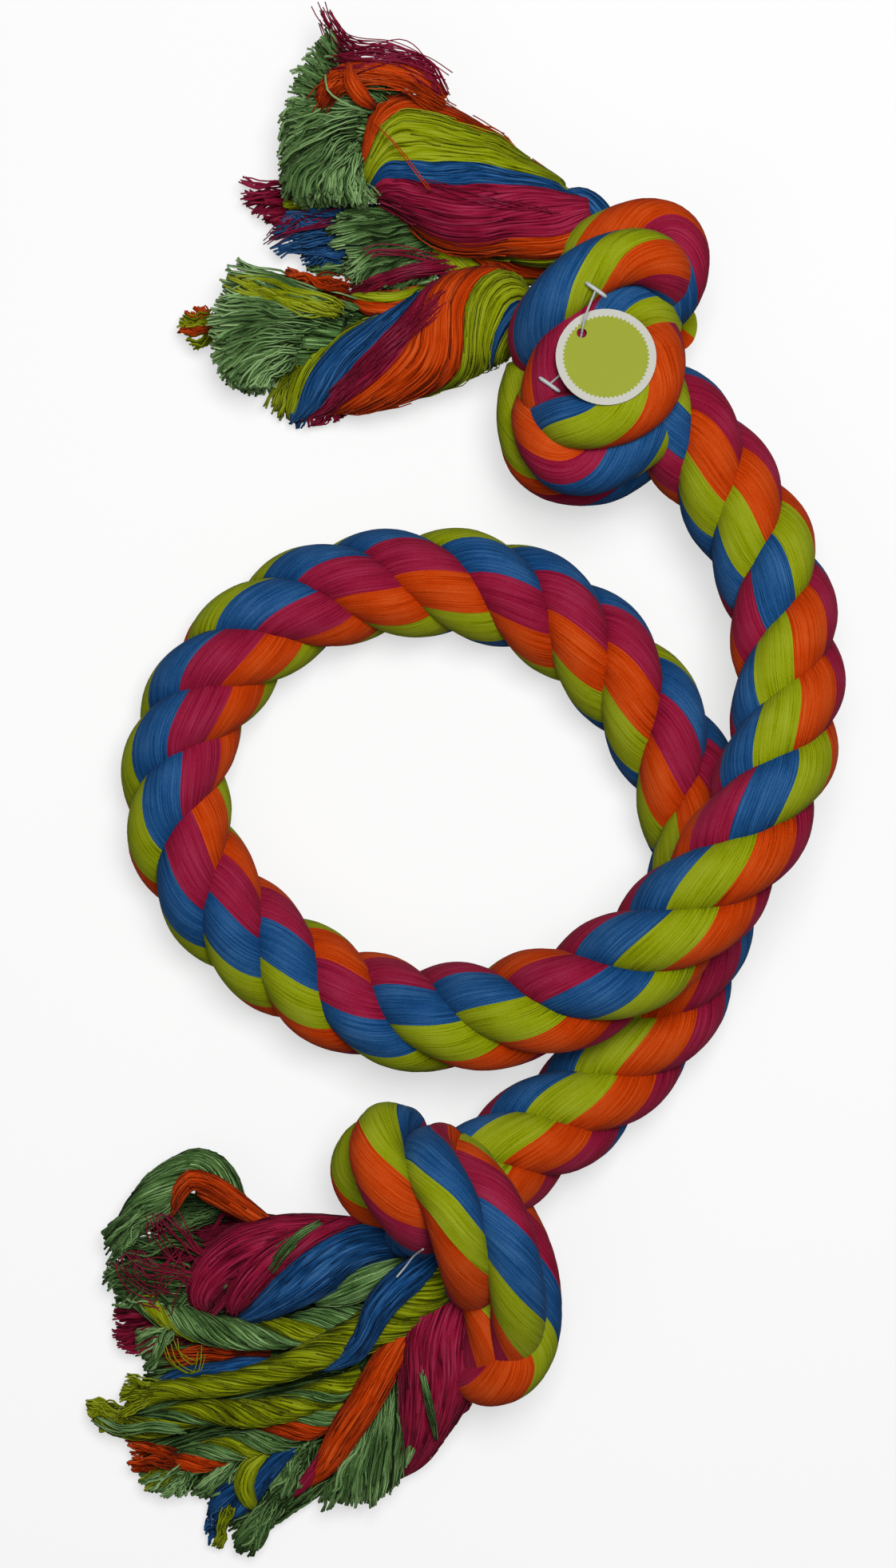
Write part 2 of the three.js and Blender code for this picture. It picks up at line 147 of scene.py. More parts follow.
LOWER_TURNS = [
    (FROM_BLUE, (4, 39, 62, 104, 118), [
        (-10, -147, 40), (-15.5, -148, 55), (-13, -153, 68), (-7, -164, 73), (-3, -178, 70),
        (0, -190, 62), (2, -198, 51), (2, -201, 38)]),
    (FROM_LIME, (8, 32, 58), [
        (-25.5, -141, 36), (-33, -138.5, 50), (-35.5, -147, 62), (-30.5, -160, 66), (-24, -170, 60),
        (-20, -177, 49), (-18.5, -180, 38)]),
    (FROM_MAGENTA, (10, 34, 66, 92), [
        (-2.5, -150.5, 40), (2, -156, 54), (10.5, -166.5, 64), (16.5, -181.5, 66), (19.5, -197.5, 62),
        (20.5, -213, 52), (18, -226, 38), (12, -232, 24)]),
    (FROM_LIME, (36, 57, 88), [
        (17, -176, 28), (23.5, -188.5, 41), (26.5, -201.5, 44), (27, -214.5, 42), (24.5, -227.5, 40),
        (17, -237, 39), (8, -240, 32), (1, -236, 20)]),
    (FROM_ORANGE, (38, 56), [
        (-27.5, -146.5, 28), (-39.5, -146.5, 33), (-44, -155, 34), (-39.5, -166, 32), (-30, -173, 28),
        (-22, -178, 22)]),
    (FROM_MAGENTA, (31, 60), [(8.5, -205, 40), (10.5, -219, 40), (8, -230, 32), (3, -234, 22)]),
    (FROM_BLUE, (10, 31, 52), [
        (-27, -148, 30), (-14, -152, 14), (2, -161, 11.6), (15, -174, 14), (21, -187, 30)]),
    (FROM_ORANGE, (8, 30, 50), [
        (-39, -168, 26), (-27, -171, 12), (-11, -182.5, 11.6), (5, -197, 11.6), (18, -213, 18),
        (21, -222, 32)]),
    (FROM_LIME, (5, 27, 48), [(-20, -194, 24), (-8, -207, 12), (5, -223, 11.6), (15, -232, 20)]),
]

# Where each tassel end leaves its knot, in millimetres, the way it points in plan and how loose its yarn is,
# which also sets how much painted shade it gets.
ENDS = {
    "upper_end_1": ((40, 217.8, 36.8), (-0.892, 0.452), 1.0),
    "upper_end_2": ((21, 186.7, 28.1), (-1, 0), 1.0),
    "upper_end_3": ((29.1, 197.4, 18.1), (-0.975, 0.222), 1.0),
    "lower_end_1": ((-19.1, -187.7, 30.2), (-0.995, -0.1), 1.5),
    "lower_end_2": ((-13.2, -199.3, 33.1), (-0.903, -0.429), 1.5),
    "lower_end_3": ((-0.9, -211, 21.6), (-0.414, -0.91), 1.2),
}

# Where the card lies on the knot, in metres, and how far it leans.
TAG_PLACE = Matrix.Translation((0.0545, 0.1675, 0.0752)) @ Matrix.Rotation(math.radians(-12), 4, "X")
# The hole in the card, as degrees round it and metres from its middle, and the card's thickness in metres.
HOLE_ANGLE, HOLE_OUT, CARD_THICK = 134, 0.0136, 0.0006
# The pin: radius of its thread, radius and half length of its bars in millimetres, their bearing in degrees.
PIN_THREAD, PIN_BAR, PIN_BAR_HALF, PIN_BEARING = 0.45, 0.85, 5, -35
# How the bar narrows to its two ends.
PIN_BAR_SHARES = np.array([0.6, 0.92, 1, 1, 1, 1, 1, 0.92, 0.6])
# The pin's thread, from the bar on the knot through the card's hole to the bar below.
PIN_HOLE = 3
PIN_ROUTE = [(50.4, 193.4, 79.2), (46.8, 184.5, 77.2), (45.4, 179.4, 75.3), (45.05, 177.1, 73.2),
             (44.6, 175.2, 71.9), (43.2, 171.5, 71.4), (39, 163.5, 71.2), (32.5, 157.5, 68.2)]
# A cut-off thread in the lower knot: its radius, then its places in the picture and heights.
CUT_THREAD, CUT_ROUTE = 0.4, [(529, 1564, 62), (517, 1573, 54), (507, 1586, 50), (496, 1599, 50)]


# Colour, lines and sections

def linear(code):
    """Linear RGB of an sRGB hex colour."""
    shares = [int(code[k:k + 2], 16) / 255 for k in (1, 3, 5)]
    return [c / 12.92 if c <= 0.04045 else ((c + 0.055) / 1.055) ** 2.4 for c in shares]


def unit(vectors):
    return vectors / np.linalg.norm(vectors, axis=-1, keepdims=True)


def seen(px, py, z):
    """Plan place, in mm, of a point at this height that shows at (px, py) of the 1122 x 1963 picture."""
    scale = PIXEL * (EYE - z) / (EYE - SEEN_AT)
    return ((px - ORIGIN_X) * scale, (ORIGIN_Y - py) * scale, z)


def placed(rows):
    """Rows of picture place, height and further columns, as rows of plan place, height and those columns."""
    return [(*seen(*row[:3]), *row[3:]) for row in rows]


def smooth(points, step):
    """Even rows along a smooth line through the points, with any further columns, and how far each lies."""
    p = np.asarray(points, float)
    p = np.vstack([2 * p[0] - p[1], p, 2 * p[-1] - p[-2]])
    gaps = np.linalg.norm(np.diff(p[:, :3], axis=0), axis=1) ** 0.5
    at = np.concatenate([[0], np.cumsum(np.maximum(gaps, 1e-6))])
    rows = []
    for k in range(1, len(p) - 2):
        t0, t1, t2, t3 = at[k - 1:k + 3]
        t = np.linspace(t1, t2, 24, endpoint=False)[:, None]
        a = (p[k - 1] * (t1 - t) + p[k] * (t - t0)) / (t1 - t0)
        b = (p[k] * (t2 - t) + p[k + 1] * (t - t1)) / (t2 - t1)
        c = (p[k + 1] * (t3 - t) + p[k + 2] * (t - t2)) / (t3 - t2)
        d = (a * (t2 - t) + b * (t - t0)) / (t2 - t0)
        e = (b * (t3 - t) + c * (t - t1)) / (t3 - t1)
        rows.append((d * (t2 - t) + e * (t - t1)) / (t2 - t1))
    rows = np.vstack(rows + [p[-2:-1]])
    far = np.concatenate([[0], np.cumsum(np.linalg.norm(np.diff(rows[:, :3], axis=0), axis=1))])
    even = np.linspace(0, far[-1], max(int(far[-1] / step), 2) + 1)
    return np.column_stack([np.interp(even, far, column) for column in rows.T]), even


def carried(line, first):
    """A sideways vector that is carried along the line without turning about it, from its highest point."""
    ahead = unit(np.gradient(line, axis=0))
    top = int(np.argmax(line[:, 2]))
    over = np.zeros_like(line)
    for way in (range(top, len(line)), range(top, -1, -1)):
        last = np.array(first, float)
        for k in way:
            last = unit(last - (last @ ahead[k]) * ahead[k])
            over[k] = last
    return over


class Skein:
    """Tubes of yarn that become one mesh. No mesh operator sweeps a section that turns along its line."""

    def __init__(self):
        self.points, self.corners, self.sizes = [], [], []
        self.places, self.slots, self.tones = [], [], []
        self.count = 0

    def add(self, rings, along, girth, slots, tones):
        """Rings of points and the way along and round them in mm, a slot and a tone for each line of faces.
        The tones hold random differences and painted light and shade.
        """
        m, n = rings.shape[:2]
        i, j = (a.ravel() for a in np.meshgrid(np.arange(m - 1), np.arange(n), indexing="ij"))
        k = (j + 1) % n
        quads = np.stack([i * n + j, i * n + k, (i + 1) * n + k, (i + 1) * n + j], 1)
        u, v = girth[np.stack([j, j + 1, j + 1, j], 1)], along[np.stack([i, i, i + 1, i + 1], 1)]
        round_ = np.arange(n)
        after = (round_ + 1) % n
        middle = np.full(n, m * n)
        first = np.stack([middle, after, round_], 1)
        last = np.stack([middle + 1, (m - 1) * n + round_, (m - 1) * n + after], 1)
        caps = np.concatenate([first, last])
        self.points += [rings.reshape(-1, 3), rings[0].mean(0)[None], rings[-1].mean(0)[None]]
        self.corners += [quads.ravel() + self.count, caps.ravel() + self.count]
        self.sizes += [np.full(len(quads), 4), np.full(len(caps), 3)]
        flat = np.stack([np.repeat(girth[:1], 6 * n), np.repeat(along[:1], 6 * n)], 1)
        self.places += [np.stack([u, v], 2).reshape(-1, 2), flat]
        self.slots += [np.broadcast_to(slots, (m - 1, n)).ravel(), np.tile(slots, 2)]
        self.tones += [np.broadcast_to(tones, (m, n)).ravel(), np.full(2, float(np.mean(tones)))]
        self.count += m * n + 2

    def strand(self, line, along, over, radius, spin, colours, edges=None, sides=40, groove=0.03, rough=0.004,
               seed=0, part=slice(None), press=0):
        """A round strand, or a part of it, whose covers turn about it. Its lines of faces follow the fibres.

        The edges are the shares of a turn at which the covers start, even if none are given. With press, the
        radius of a lay of three, it is flat where it lies against the other two, with painted shade in the
        valleys.
        """
        ahead = unit(np.gradient(line, axis=0))
        over = unit(over - (over * ahead).sum(1, keepdims=True) * ahead)
        side = np.cross(ahead, over)
        rng = np.random.default_rng(seed)
        turn = np.arange(sides) / sides
        edges = np.arange(len(colours)) / len(colours) if edges is None else np.asarray(edges)
        near = np.abs((turn[:, None] - edges[None] + 0.5) % 1 - 0.5).min(1)
        dip = (1 - groove * np.exp(-(near * 9) ** 2)) * (1 + rough * rng.normal(size=sides))
        angle = 2 * np.pi * turn[None] + np.asarray(spin)[:, None]
        reach = np.broadcast_to(np.asarray(radius, float), len(line))[:, None] * dip[None]
        # Painted light and shade: crowns are paler than the sides.
        tones = rng.normal(size=sides)[None] * 0.3 + STRAND_SIDE_SHADE * (np.cos(angle) - CROWN)
        if press:
            inward = np.abs((angle + np.pi) % (2 * np.pi) - np.pi) - np.pi / 3
            reach = np.minimum(reach, 0.85 * press / np.maximum(np.sin(inward), 0.01))
            # Painted shade in the valleys where the strands lie against each other.
            tones = tones - VALLEY_SHADE * np.clip((inward + 0.1) / 0.9, 0, 1) ** 2
        rings = line[:, None] + reach[..., None] * (
            np.cos(angle)[..., None] * over[:, None] + np.sin(angle)[..., None] * side[:, None])
        rings[..., 2] = np.maximum(rings[..., 2], FLOOR)
        sector = np.searchsorted(edges, turn + 0.5 / sides, side="right") - 1
        girth = np.arange(sides + 1) * 2 * np.pi * float(np.mean(radius)) / sides + MAP_SHIFT * seed
        self.add(rings[part], along[part], girth, np.array(colours)[sector], tones[part])

    def lock(self, stations, bands, seed, sides=96, ridge=0.15, crease=0.7, strays=0, pitch=0, tone=0.0):
        """A combed bundle through stations of picture place, height, half width, half height and turn.

        It has one colour, or bands that start at an angle, in degrees from the top towards the right of the
        way ahead. With a pitch it is twisted. Some lines between the yarns lie deep, and stray threads lie on
        top.
        """
        bands = [(0, bands)] if isinstance(bands, int) else bands
        rows, along = smooth(placed(stations), LOCK_STEP)
        line, wide, high = rows[:, :3], np.maximum(rows[:, 3], 0.4), np.maximum(rows[:, 4], 0.4)
        twist = rows[:, 5] if rows.shape[1] > 5 else 0 * along
        if pitch:
            twist = twist + 360 * along / pitch
        ahead = unit(np.gradient(line, axis=0))
        side = unit(np.cross(ahead, UP))
        lift = np.cross(side, ahead)
        rng = np.random.default_rng(seed)
        starts = np.array([angle % 360 for angle, _ in bands], float)
        turn = 360 * np.arange(sides) / sides
        near = np.abs((turn[:, None] - starts[None] + 180) % 360 - 180).min(1)
        comb = rng.normal(size=sides)[None] * ridge - crease * np.exp(-(near / 7) ** 2) * (len(bands) > 1)
        # About one line in seven lies deep, for a part of its way.
        gaps = (rng.random(sides) < 0.14) * rng.uniform(0.3, 0.9, sides)
        wave = rng.uniform(0, 2 * np.pi, (2, sides))
        gaps = gaps[None] * np.clip(np.sin(along[:, None] / 13 + wave[0]) + 0.5, 0, 1)
        comb = comb - gaps + ridge * np.sin(2 * np.pi * along[:, None] / 37 + wave[1])
        comb = comb * np.minimum(1, (wide + high) / 16)[:, None]
        angle = np.radians(turn[None] + twist[:, None])
        flat = np.sin(angle)
        rings = line[:, None] + ((high[:, None] + comb) * np.cos(angle))[..., None] * lift[:, None] + (
            (wide[:, None] + comb) * np.sign(flat) * np.abs(flat) ** 0.85)[..., None] * side[:, None]
        rings[..., 2] = np.maximum(rings[..., 2], LOCK_FLOOR)
        middle = (turn + 180 / sides)[:, None]
        first = np.argmin((middle - starts[None]) % 360, axis=1)
        colours = np.array([colour for _, colour in bands])[first]
        girth = np.arange(sides + 1) * np.pi * float(np.mean(wide + high)) / sides + MAP_SHIFT * seed
        # Painted shade: the sides of a bundle are darker than its crown, and its deep lines and creases darker
        # still.
        self.add(rings, along, girth, colours, comb * 2 + tone + LOCK_SIDE_SHADE * (np.cos(angle) - CROWN))
        for _ in range(strays):
            j = int(rng.integers(sides))
            i = int(rng.integers(0, max(len(along) - 9, 1)))
            at = np.linspace(i, min(i + rng.integers(8, 22), len(along) - 1), 9).astype(int)
            drift = np.rint(j + rng.normal() * 1.5 * np.sin(np.linspace(0, 3, 9))).astype(int) % sides
            off = rings[at, drift] - line[at]
            self.yarns([line[at] + off * (1 + rng.uniform(0.01, 0.06))], STRAY_THICK, colours[j],
                       [tone + 1.5 * rng.normal()])

    def yarns(self, lines, thick, colour, tones, root_shading=0.0, sides=4):
        """Single yarns: each line is a row of points in mm; painted shade makes the roots darker than the
        tips.
        """
        turn = 2 * np.pi * np.arange(sides) / sides
        girth = np.arange(sides + 1) * np.pi * thick / sides
        for line, tone in zip(lines, tones):
            way = np.gradient(line, axis=0)
            ahead = way / np.maximum(np.linalg.norm(way, axis=1, keepdims=True), 1e-6)
            side = unit(np.cross(ahead, np.array([0.13, 0.21, 0.97])))
            lift = np.cross(side, ahead)
            rings = line[:, None] + thick / 2 * (
                np.cos(turn)[None, :, None] * lift[:, None] + np.sin(turn)[None, :, None] * side[:, None])
            rings[..., 2] = np.maximum(rings[..., 2], FLOOR)
            along = np.concatenate([[0], np.cumsum(np.linalg.norm(np.diff(line, axis=0), axis=1))])
            # Painted shade: the roots are darker than the tips.
            paler = tone + root_shading * np.linspace(-1, 1, len(line))
            self.add(rings, along, girth, np.full(sides, colour), np.repeat(paler[:, None], sides, 1))

    def brush(self, roots, tips, colour, count, seed, deep, thick=1.05, short=0.25, wave=1.8, ahead=(0, 0),
              tone=0.0):
        """Yarns combed out from a row of roots to a row of tips, between two heights, in uneven clumps."""
        rng = np.random.default_rng(seed)
        roots, _ = smooth(placed(roots), 1.0)
        tips, _ = smooth(placed([(px, py, sum(deep) / 2) for px, py in tips]), 1.0)
        t = np.linspace(0, 1, 11)[:, None]
        lines = []
        for n in range(count):
            if n % CLUMP == 0:
                u, level, cut, phase = rng.random(4)
                lean = rng.normal(size=3) * (wave, wave, 0.5 * wave)
                sway = rng.normal() * 0.35 * wave
            v = np.clip(u + rng.normal() * 0.025, 0, 1)
            root = roots[int(v * (len(roots) - 1))] + rng.normal(size=3) * (1.2, 1.2, 0.8)
            tip = tips[int(np.clip(v + rng.normal() * 0.035, 0, 1) * (len(tips) - 1))].copy()
            tip[2] = deep[0] + (deep[1] - deep[0]) * np.clip(level + rng.normal() * 0.08, 0, 1)
            root[2] += (level - 0.5) * 0.7 * (deep[1] - deep[0])
            tip[:2] = root[:2] + (tip[:2] - root[:2]) * (1 - short * (0.75 * cut ** 2 + 0.25 * rng.random()))
            bend = (root + tip) / 2 + (*ahead, 0) + lean + rng.normal(size=3) * 0.5
            line = root * (1 - t) ** 2 + 2 * bend * t * (1 - t) + tip * t ** 2
            across = unit(np.cross(tip - root, UP))
            crimp = np.sin(2 * np.pi * (1.7 * t + phase)) * sway
            crimp = crimp + np.sin(2 * np.pi * (3.1 * t + rng.random())) * 0.25
            lines.append(line + across * crimp)
        self.yarns(lines, thick, colour, tone + 1.7 * rng.normal(size=count), root_shading=ROOT_SHADE)

    def wisp(self, points, colour, count, seed, thick=0.5, spread=1.5, tone=0.0):
        """A few loose threads that follow one line."""
        rng = np.random.default_rng(seed)
        rows, along = smooth(placed(points), WISP_STEP)
        lines = []
        for _ in range(count):
            phase = rng.uniform(0, 2 * np.pi, 3)
            sway = np.sin(along[:, None] / rng.uniform(8, 18) + phase[None])
            shift = rng.normal(size=3) * spread * (0.6, 0.6, 0.25)
            lines.append(rows + shift + sway * spread * (0.6, 0.6, 0.2))
        self.yarns(lines, thick, colour, tone + rng.normal(size=count))

    def piece(self, name, materials, slot, replaced=(), loose=1.0):
        """The mesh as an object at the origin, with its finish and the frame's solids that it stands for."""
        data = bpy.data.meshes.new(name)
        points = np.concatenate(self.points) * MM
        sizes = np.concatenate(self.sizes)
        data.vertices.add(len(points))
        data.vertices.foreach_set("co", points.astype(np.float32).ravel())
        data.loops.add(int(sizes.sum()))
        data.loops.foreach_set("vertex_index", np.concatenate(self.corners).astype(np.int32))
        data.polygons.add(len(sizes))
        data.polygons.foreach_set("loop_start", (np.cumsum(sizes) - sizes).astype(np.int32))
        data.polygons.foreach_set("material_index", np.concatenate(self.slots).astype(np.int32))
        data.polygons.foreach_set("use_smooth", sizes == 4)
        data.update(calc_edges=True)
        data.uv_layers.new(name="fibres").data.foreach_set(
            "uv", (np.concatenate(self.places) / 10).astype(np.float32).ravel())
        data.attributes.new("tone", "FLOAT", "POINT").data.foreach_set(
            "value", np.concatenate(self.tones).astype(np.float32))
        data.attributes.new("loose", "FLOAT", "POINT").data.foreach_set(
            "value", np.full(len(points), loose, np.float32))
        data.validate()
        for material in materials:
            data.materials.append(material)
        made = bpy.data.objects.new(name, data)
        bpy.context.scene.collection.objects.link(made)
        if replaced:
            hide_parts(*replaced)
        return made


# Materials

def add(tree, kind, inputs=None, **settings):
    """Adds a node with its settings, and values or links on its inputs. A node stands for its first output."""
    made = tree.nodes.new("ShaderNode" + kind)
    for key, value in settings.items():
        setattr(made, key, value)
    for key, value in (inputs or {}).items():
        value = value.outputs[0] if isinstance(value, bpy.types.Node) else value
        if isinstance(value, bpy.types.NodeSocket):
            tree.links.new(value, made.inputs[key])
        else:
            made.inputs[key].default_value = value
    return made


def blank(name):
    material = bpy.data.materials.new(name)
    material.use_nodes = True
    material.node_tree.nodes.clear()
    return material, material.node_tree


def yarn(name, colour, deep, pale):
    """Brushed cotton and acrylic yarn: matt, with fine lines along its fibres and a little fuzz.

    A fibre is about 0.02 mm, too fine to show, so the lines are drawn 0.6 mm apart and 20 mm long.
    """
    material, tree = blank(name)
    # The piece's map is in centimetres, round the strand and along its fibres.
    uv = add(tree, "UVMap", uv_map="fibres")
    fine = add(tree, "Mapping", {"Vector": uv, "Scale": (17.0, 0.5, 1.0)})
    fibres = add(tree, "TexNoise", {"Vector": fine, "Scale": 1.0, "Detail": 2.0, "Roughness": 0.6},
                 noise_dimensions="2D")
    # Loose yarn is drawn with deeper lines than yarn that is laid up tight.
    loose = add(tree, "Attribute", attribute_name="loose").outputs["Fac"]
    depth = add(tree, "MapRange", {"Value": loose, "To Min": 0.55, "To Max": 1.1})
    middle = add(tree, "Math", {0: fibres, 1: 0.5}, operation="SUBTRACT")
    lines = add(tree, "Math", {0: middle, 1: depth, 2: 0.5}, operation="MULTIPLY_ADD")
    # Fuzz of broken fibres, in flecks of 0.5 mm, over worn patches of 12 mm.
    place = add(tree, "TexCoord").outputs["Object"]
    fleck = add(tree, "TexNoise", {"Vector": place, "Scale": 2000.0, "Detail": 1.0})
    fuzz = add(tree, "Math", {0: fleck, 1: 0.2, 2: lines}, operation="MULTIPLY_ADD")
    patch = add(tree, "TexNoise", {"Vector": place, "Scale": 85.0, "Detail": 2.0})
    worn = add(tree, "Math", {0: patch, 1: 0.2, 2: fuzz}, operation="MULTIPLY_ADD")
    # The tone brings in random differences and painted light and shade: paler crowns, darker sides, valleys,
    # roots and low mats.
    tone = add(tree, "Attribute", attribute_name="tone").outputs["Fac"]
    combed = add(tree, "Math", {0: tone, 1: 0.05, 2: worn}, operation="MULTIPLY_ADD")
    # Painted shade: loose yarn is darker, for the gaps between its yarns.
    shade = add(tree, "Math", {0: loose, 1: -0.05, 2: combed}, operation="MULTIPLY_ADD")
    # The ramp's deep end also gives the painted shade, and its pale end the painted light of crowns and tips.
    ramp = add(tree, "ValToRGB", {"Fac": shade})
    stops = ramp.color_ramp.elements
    stops[0].position, stops[0].color = 0.42, (*linear(deep), 1)
    stops[1].position, stops[1].color = 0.94, (*linear(pale), 1)
    stops.new(0.67).color = (*colour, 1)
    bump = add(tree, "Bump", {"Height": fuzz, "Strength": 0.5, "Distance": 0.0004})
    shader = add(tree, "BsdfPrincipled", {
        "Base Color": ramp, "Roughness": 0.95, "Specular IOR Level": 0.05, "IOR": 1.5, "Sheen Weight": 0.02,
        "Sheen Roughness": 0.5, "Normal": bump})
    add(tree, "OutputMaterial", {"Surface": shader})
    return material


def yarn_set(toy):
    """The five yarns, in the order of their numbers, made once."""
    yarns = [("brushed_magenta", toy.magenta, "#380313", "#a03452"),
             ("brushed_orange", toy.orange, "#4e1200", "#d05c26"),
             ("brushed_lime", toy.lime, "#303600", "#9faa34"),
             ("brushed_blue", toy.blue, "#051930", "#406e9e"),
             ("spun_core_green", toy.core, "#101f08", "#a2c486")]
    return [bpy.data.materials.get(name) or yarn(name, *colours) for name, *colours in yarns]


def printed_card(sizes):
    """Coated white card with a lime disc printed on it: a soft gloss, and points round the disc's edge."""
    material, tree = blank("printed_card")
    uv = add(tree, "UVMap", uv_map="card")
    xyz = add(tree, "SeparateXYZ", {0: uv})
    far = add(tree, "VectorMath", {0: uv}, operation="LENGTH").outputs["Value"]
    angle = add(tree, "Math", {0: xyz.outputs["Y"], 1: xyz.outputs["X"]}, operation="ARCTAN2")
    steps = add(tree, "Math", {0: angle, 1: sizes.teeth / math.pi}, operation="MULTIPLY")
    teeth = add(tree, "Math", {0: steps, 1: 1.0}, operation="PINGPONG")
    # The points stand 0.9 mm out from a disc of 16.3 mm radius.
    edge = add(tree, "Math", {0: teeth, 1: 0.9, 2: 16.3}, operation="MULTIPLY_ADD")
    inside = add(tree, "Math", {0: far, 1: edge}, operation="LESS_THAN")
    grain = add(tree, "TexNoise", {"Vector": uv, "Scale": 0.4, "Detail": 4.0})
    mottle = add(tree, "MapRange", {"Value": grain, "To Min": 0.0, "To Max": 0.22})
    stock, ink = (
        add(tree, "Mix", {"Factor": mottle, "A": (*linear(pale), 1), "B": (*linear(dark), 1)},
            data_type="RGBA")
        for pale, dark in (("#c4c4bb", "#acaca2"), ("#959e26", "#848d1a")))
    printed = add(tree, "Mix", {"Factor": inside, "A": stock.outputs["Result"], "B": ink.outputs["Result"]},
                  data_type="RGBA")
    shader = add(tree, "BsdfPrincipled", {
        "Base Color": printed.outputs["Result"], "Roughness": 0.55, "Specular IOR Level": 0.2})
    add(tree, "OutputMaterial", {"Surface": shader})
    return material


def mottled(name, uv_map, noise, colours, finish):
    """A plain stuff that is faintly mottled between two colours."""
    material, tree = blank(name)
    mottle = add(tree, "TexNoise", {"Vector": add(tree, "UVMap", uv_map=uv_map), **noise})
    ramp = add(tree, "ValToRGB", {"Fac": mottle})
    for stop, code in zip(ramp.color_ramp.elements, colours):
        stop.color = (*linear(code), 1)
    add(tree, "OutputMaterial", {"Surface": add(tree, "BsdfPrincipled", {"Base Color": ramp, **finish})})
    return material


def bare_card():
    """Uncoated back and cut edge of the card: matt, faintly mottled pulp."""
    return mottled("bare_card", "card", {"Scale": 1.5, "Detail": 5.0}, ("#c9c7bd", "#e6e5de"),
                   {"Roughness": 0.85})


def clear_plastic():
    """Drawn polypropylene: milky and half clear, with a soft gloss."""
    return mottled("milky_plastic", "fibres", {"Scale": 4.0}, ("#a9adb0", "#d2d5d8"),
                   {"Roughness": 0.3, "IOR": 1.49, "Transmission Weight": 0.25})


# Sizes and colours that a user may change

class YarnColours(bpy.types.PropertyGroup):
    magenta: FloatVectorProperty(name="Magenta", description="Cover yarn", subtype="COLOR", min=0, max=1,
                                 default=linear("#8d1333"))
    orange: FloatVectorProperty(name="Orange", description="Cover yarn", subtype="COLOR", min=0, max=1,
                                default=linear("#bb3800"))
    lime: FloatVectorProperty(name="Lime", description="Cover yarn", subtype="COLOR", min=0, max=1,
                              default=linear("#889403"))
    blue: FloatVectorProperty(name="Blue", description="Cover yarn", subtype="COLOR", min=0, max=1,
                              default=linear("#154679"))
    core: FloatVectorProperty(name="Core green", description="Yarn inside the covers", subtype="COLOR",
                              min=0, max=1, default=linear("#587d42"))


class RopeSizes(bpy.types.PropertyGroup):
    strand: FloatProperty(name="Strand", description="Thickness of a laid strand, pressed against the others",
                          default=0.0266, unit="LENGTH")
    lay_radius: FloatProperty(name="Lay radius", description="From the rope's middle to a strand's middle",
                              default=0.0095, unit="LENGTH")
    turn: FloatProperty(name="Knot turn", description="Thickness of a strand in the knots", default=0.0228,
                        unit="LENGTH")
    cover_pitch: FloatProperty(name="Cover twist",
                               description="Strand length in which the four covers go round",
                               default=0.092, unit="LENGTH")


class TagSizes(bpy.types.PropertyGroup):
    across: FloatProperty(name="Tag", description="Diameter of the card", default=0.0395, unit="LENGTH")
    hole: FloatProperty(name="Hole", description="Diameter of the punched hole", default=0.004, unit="LENGTH")
    teeth: IntProperty(name="Teeth", description="Points round the printed disc", default=60, min=3)


# Pieces

class ROPETOY_OT_rope(bpy.types.Operator):
    """Lays the three strands of the rope, in two lengths that meet at the left of the loop"""
    bl_idname = "ropetoy.rope"
    bl_label = "Rope"

    def execute(self, context):
        sizes, materials = context.scene.rope_sizes, yarn_set(context.scene.yarn_colours)
        middle, along = smooth(ROPE_ROUTE, STRAND_STEP)
        ahead = unit(np.gradient(middle, axis=0))
        side = unit(np.cross(ahead, UP))
        over = np.cross(side, ahead)
        passed = np.interp(along, *np.array(PASSED, float).T)
        split = int(np.searchsorted(along, ROPE_SPLIT))
        upper, lower, cuts = Skein(), Skein(), []
        for k, turns in enumerate(COVER_TURNS):
            theta = 2 * np.pi / 3 * (passed - k)
            out = np.cos(theta)[:, None] * over + np.sin(theta)[:, None] * side
            line = middle + sizes.lay_radius / MM * out
            far = np.concatenate([[0], np.cumsum(np.linalg.norm(np.diff(line, axis=0), axis=1))])
            spin = -2 * theta - np.radians(np.interp(along, *np.array(turns, float).T))
            # Each strand is cut where it lies under the others.
            first = split - SPLIT_ROWS
            cuts.append(first + int(np.argmin(np.cos(theta[first:split + SPLIT_ROWS + 1]))))
            for skein, part in ((upper, slice(0, cuts[k] + 1)), (lower, slice(cuts[k], None))):
                skein.strand(line, far, out, sizes.strand / MM / 2, spin, COVERS, sides=60, seed=k, part=part,
                             press=sizes.lay_radius / MM)
        for tail, skein, part in (("upper", upper, slice(0, max(cuts) + 1)),
                                  ("lower", lower, slice(min(cuts), None))):
            solids = [f"{tail}_{kind}_strand_{k}" for kind in ("tail", "flex") for k in (1, 2, 3)]
            if tail == "upper":
                solids += [f"loop_strand_{k}" for k in (1, 2, 3)]
            made = skein.piece(f"rope_{tail}", materials, "rope_yarn", solids, loose=0.0)
            if tail == "upper":
                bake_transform(made)
            else:
                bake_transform(made)
        return {"FINISHED"}


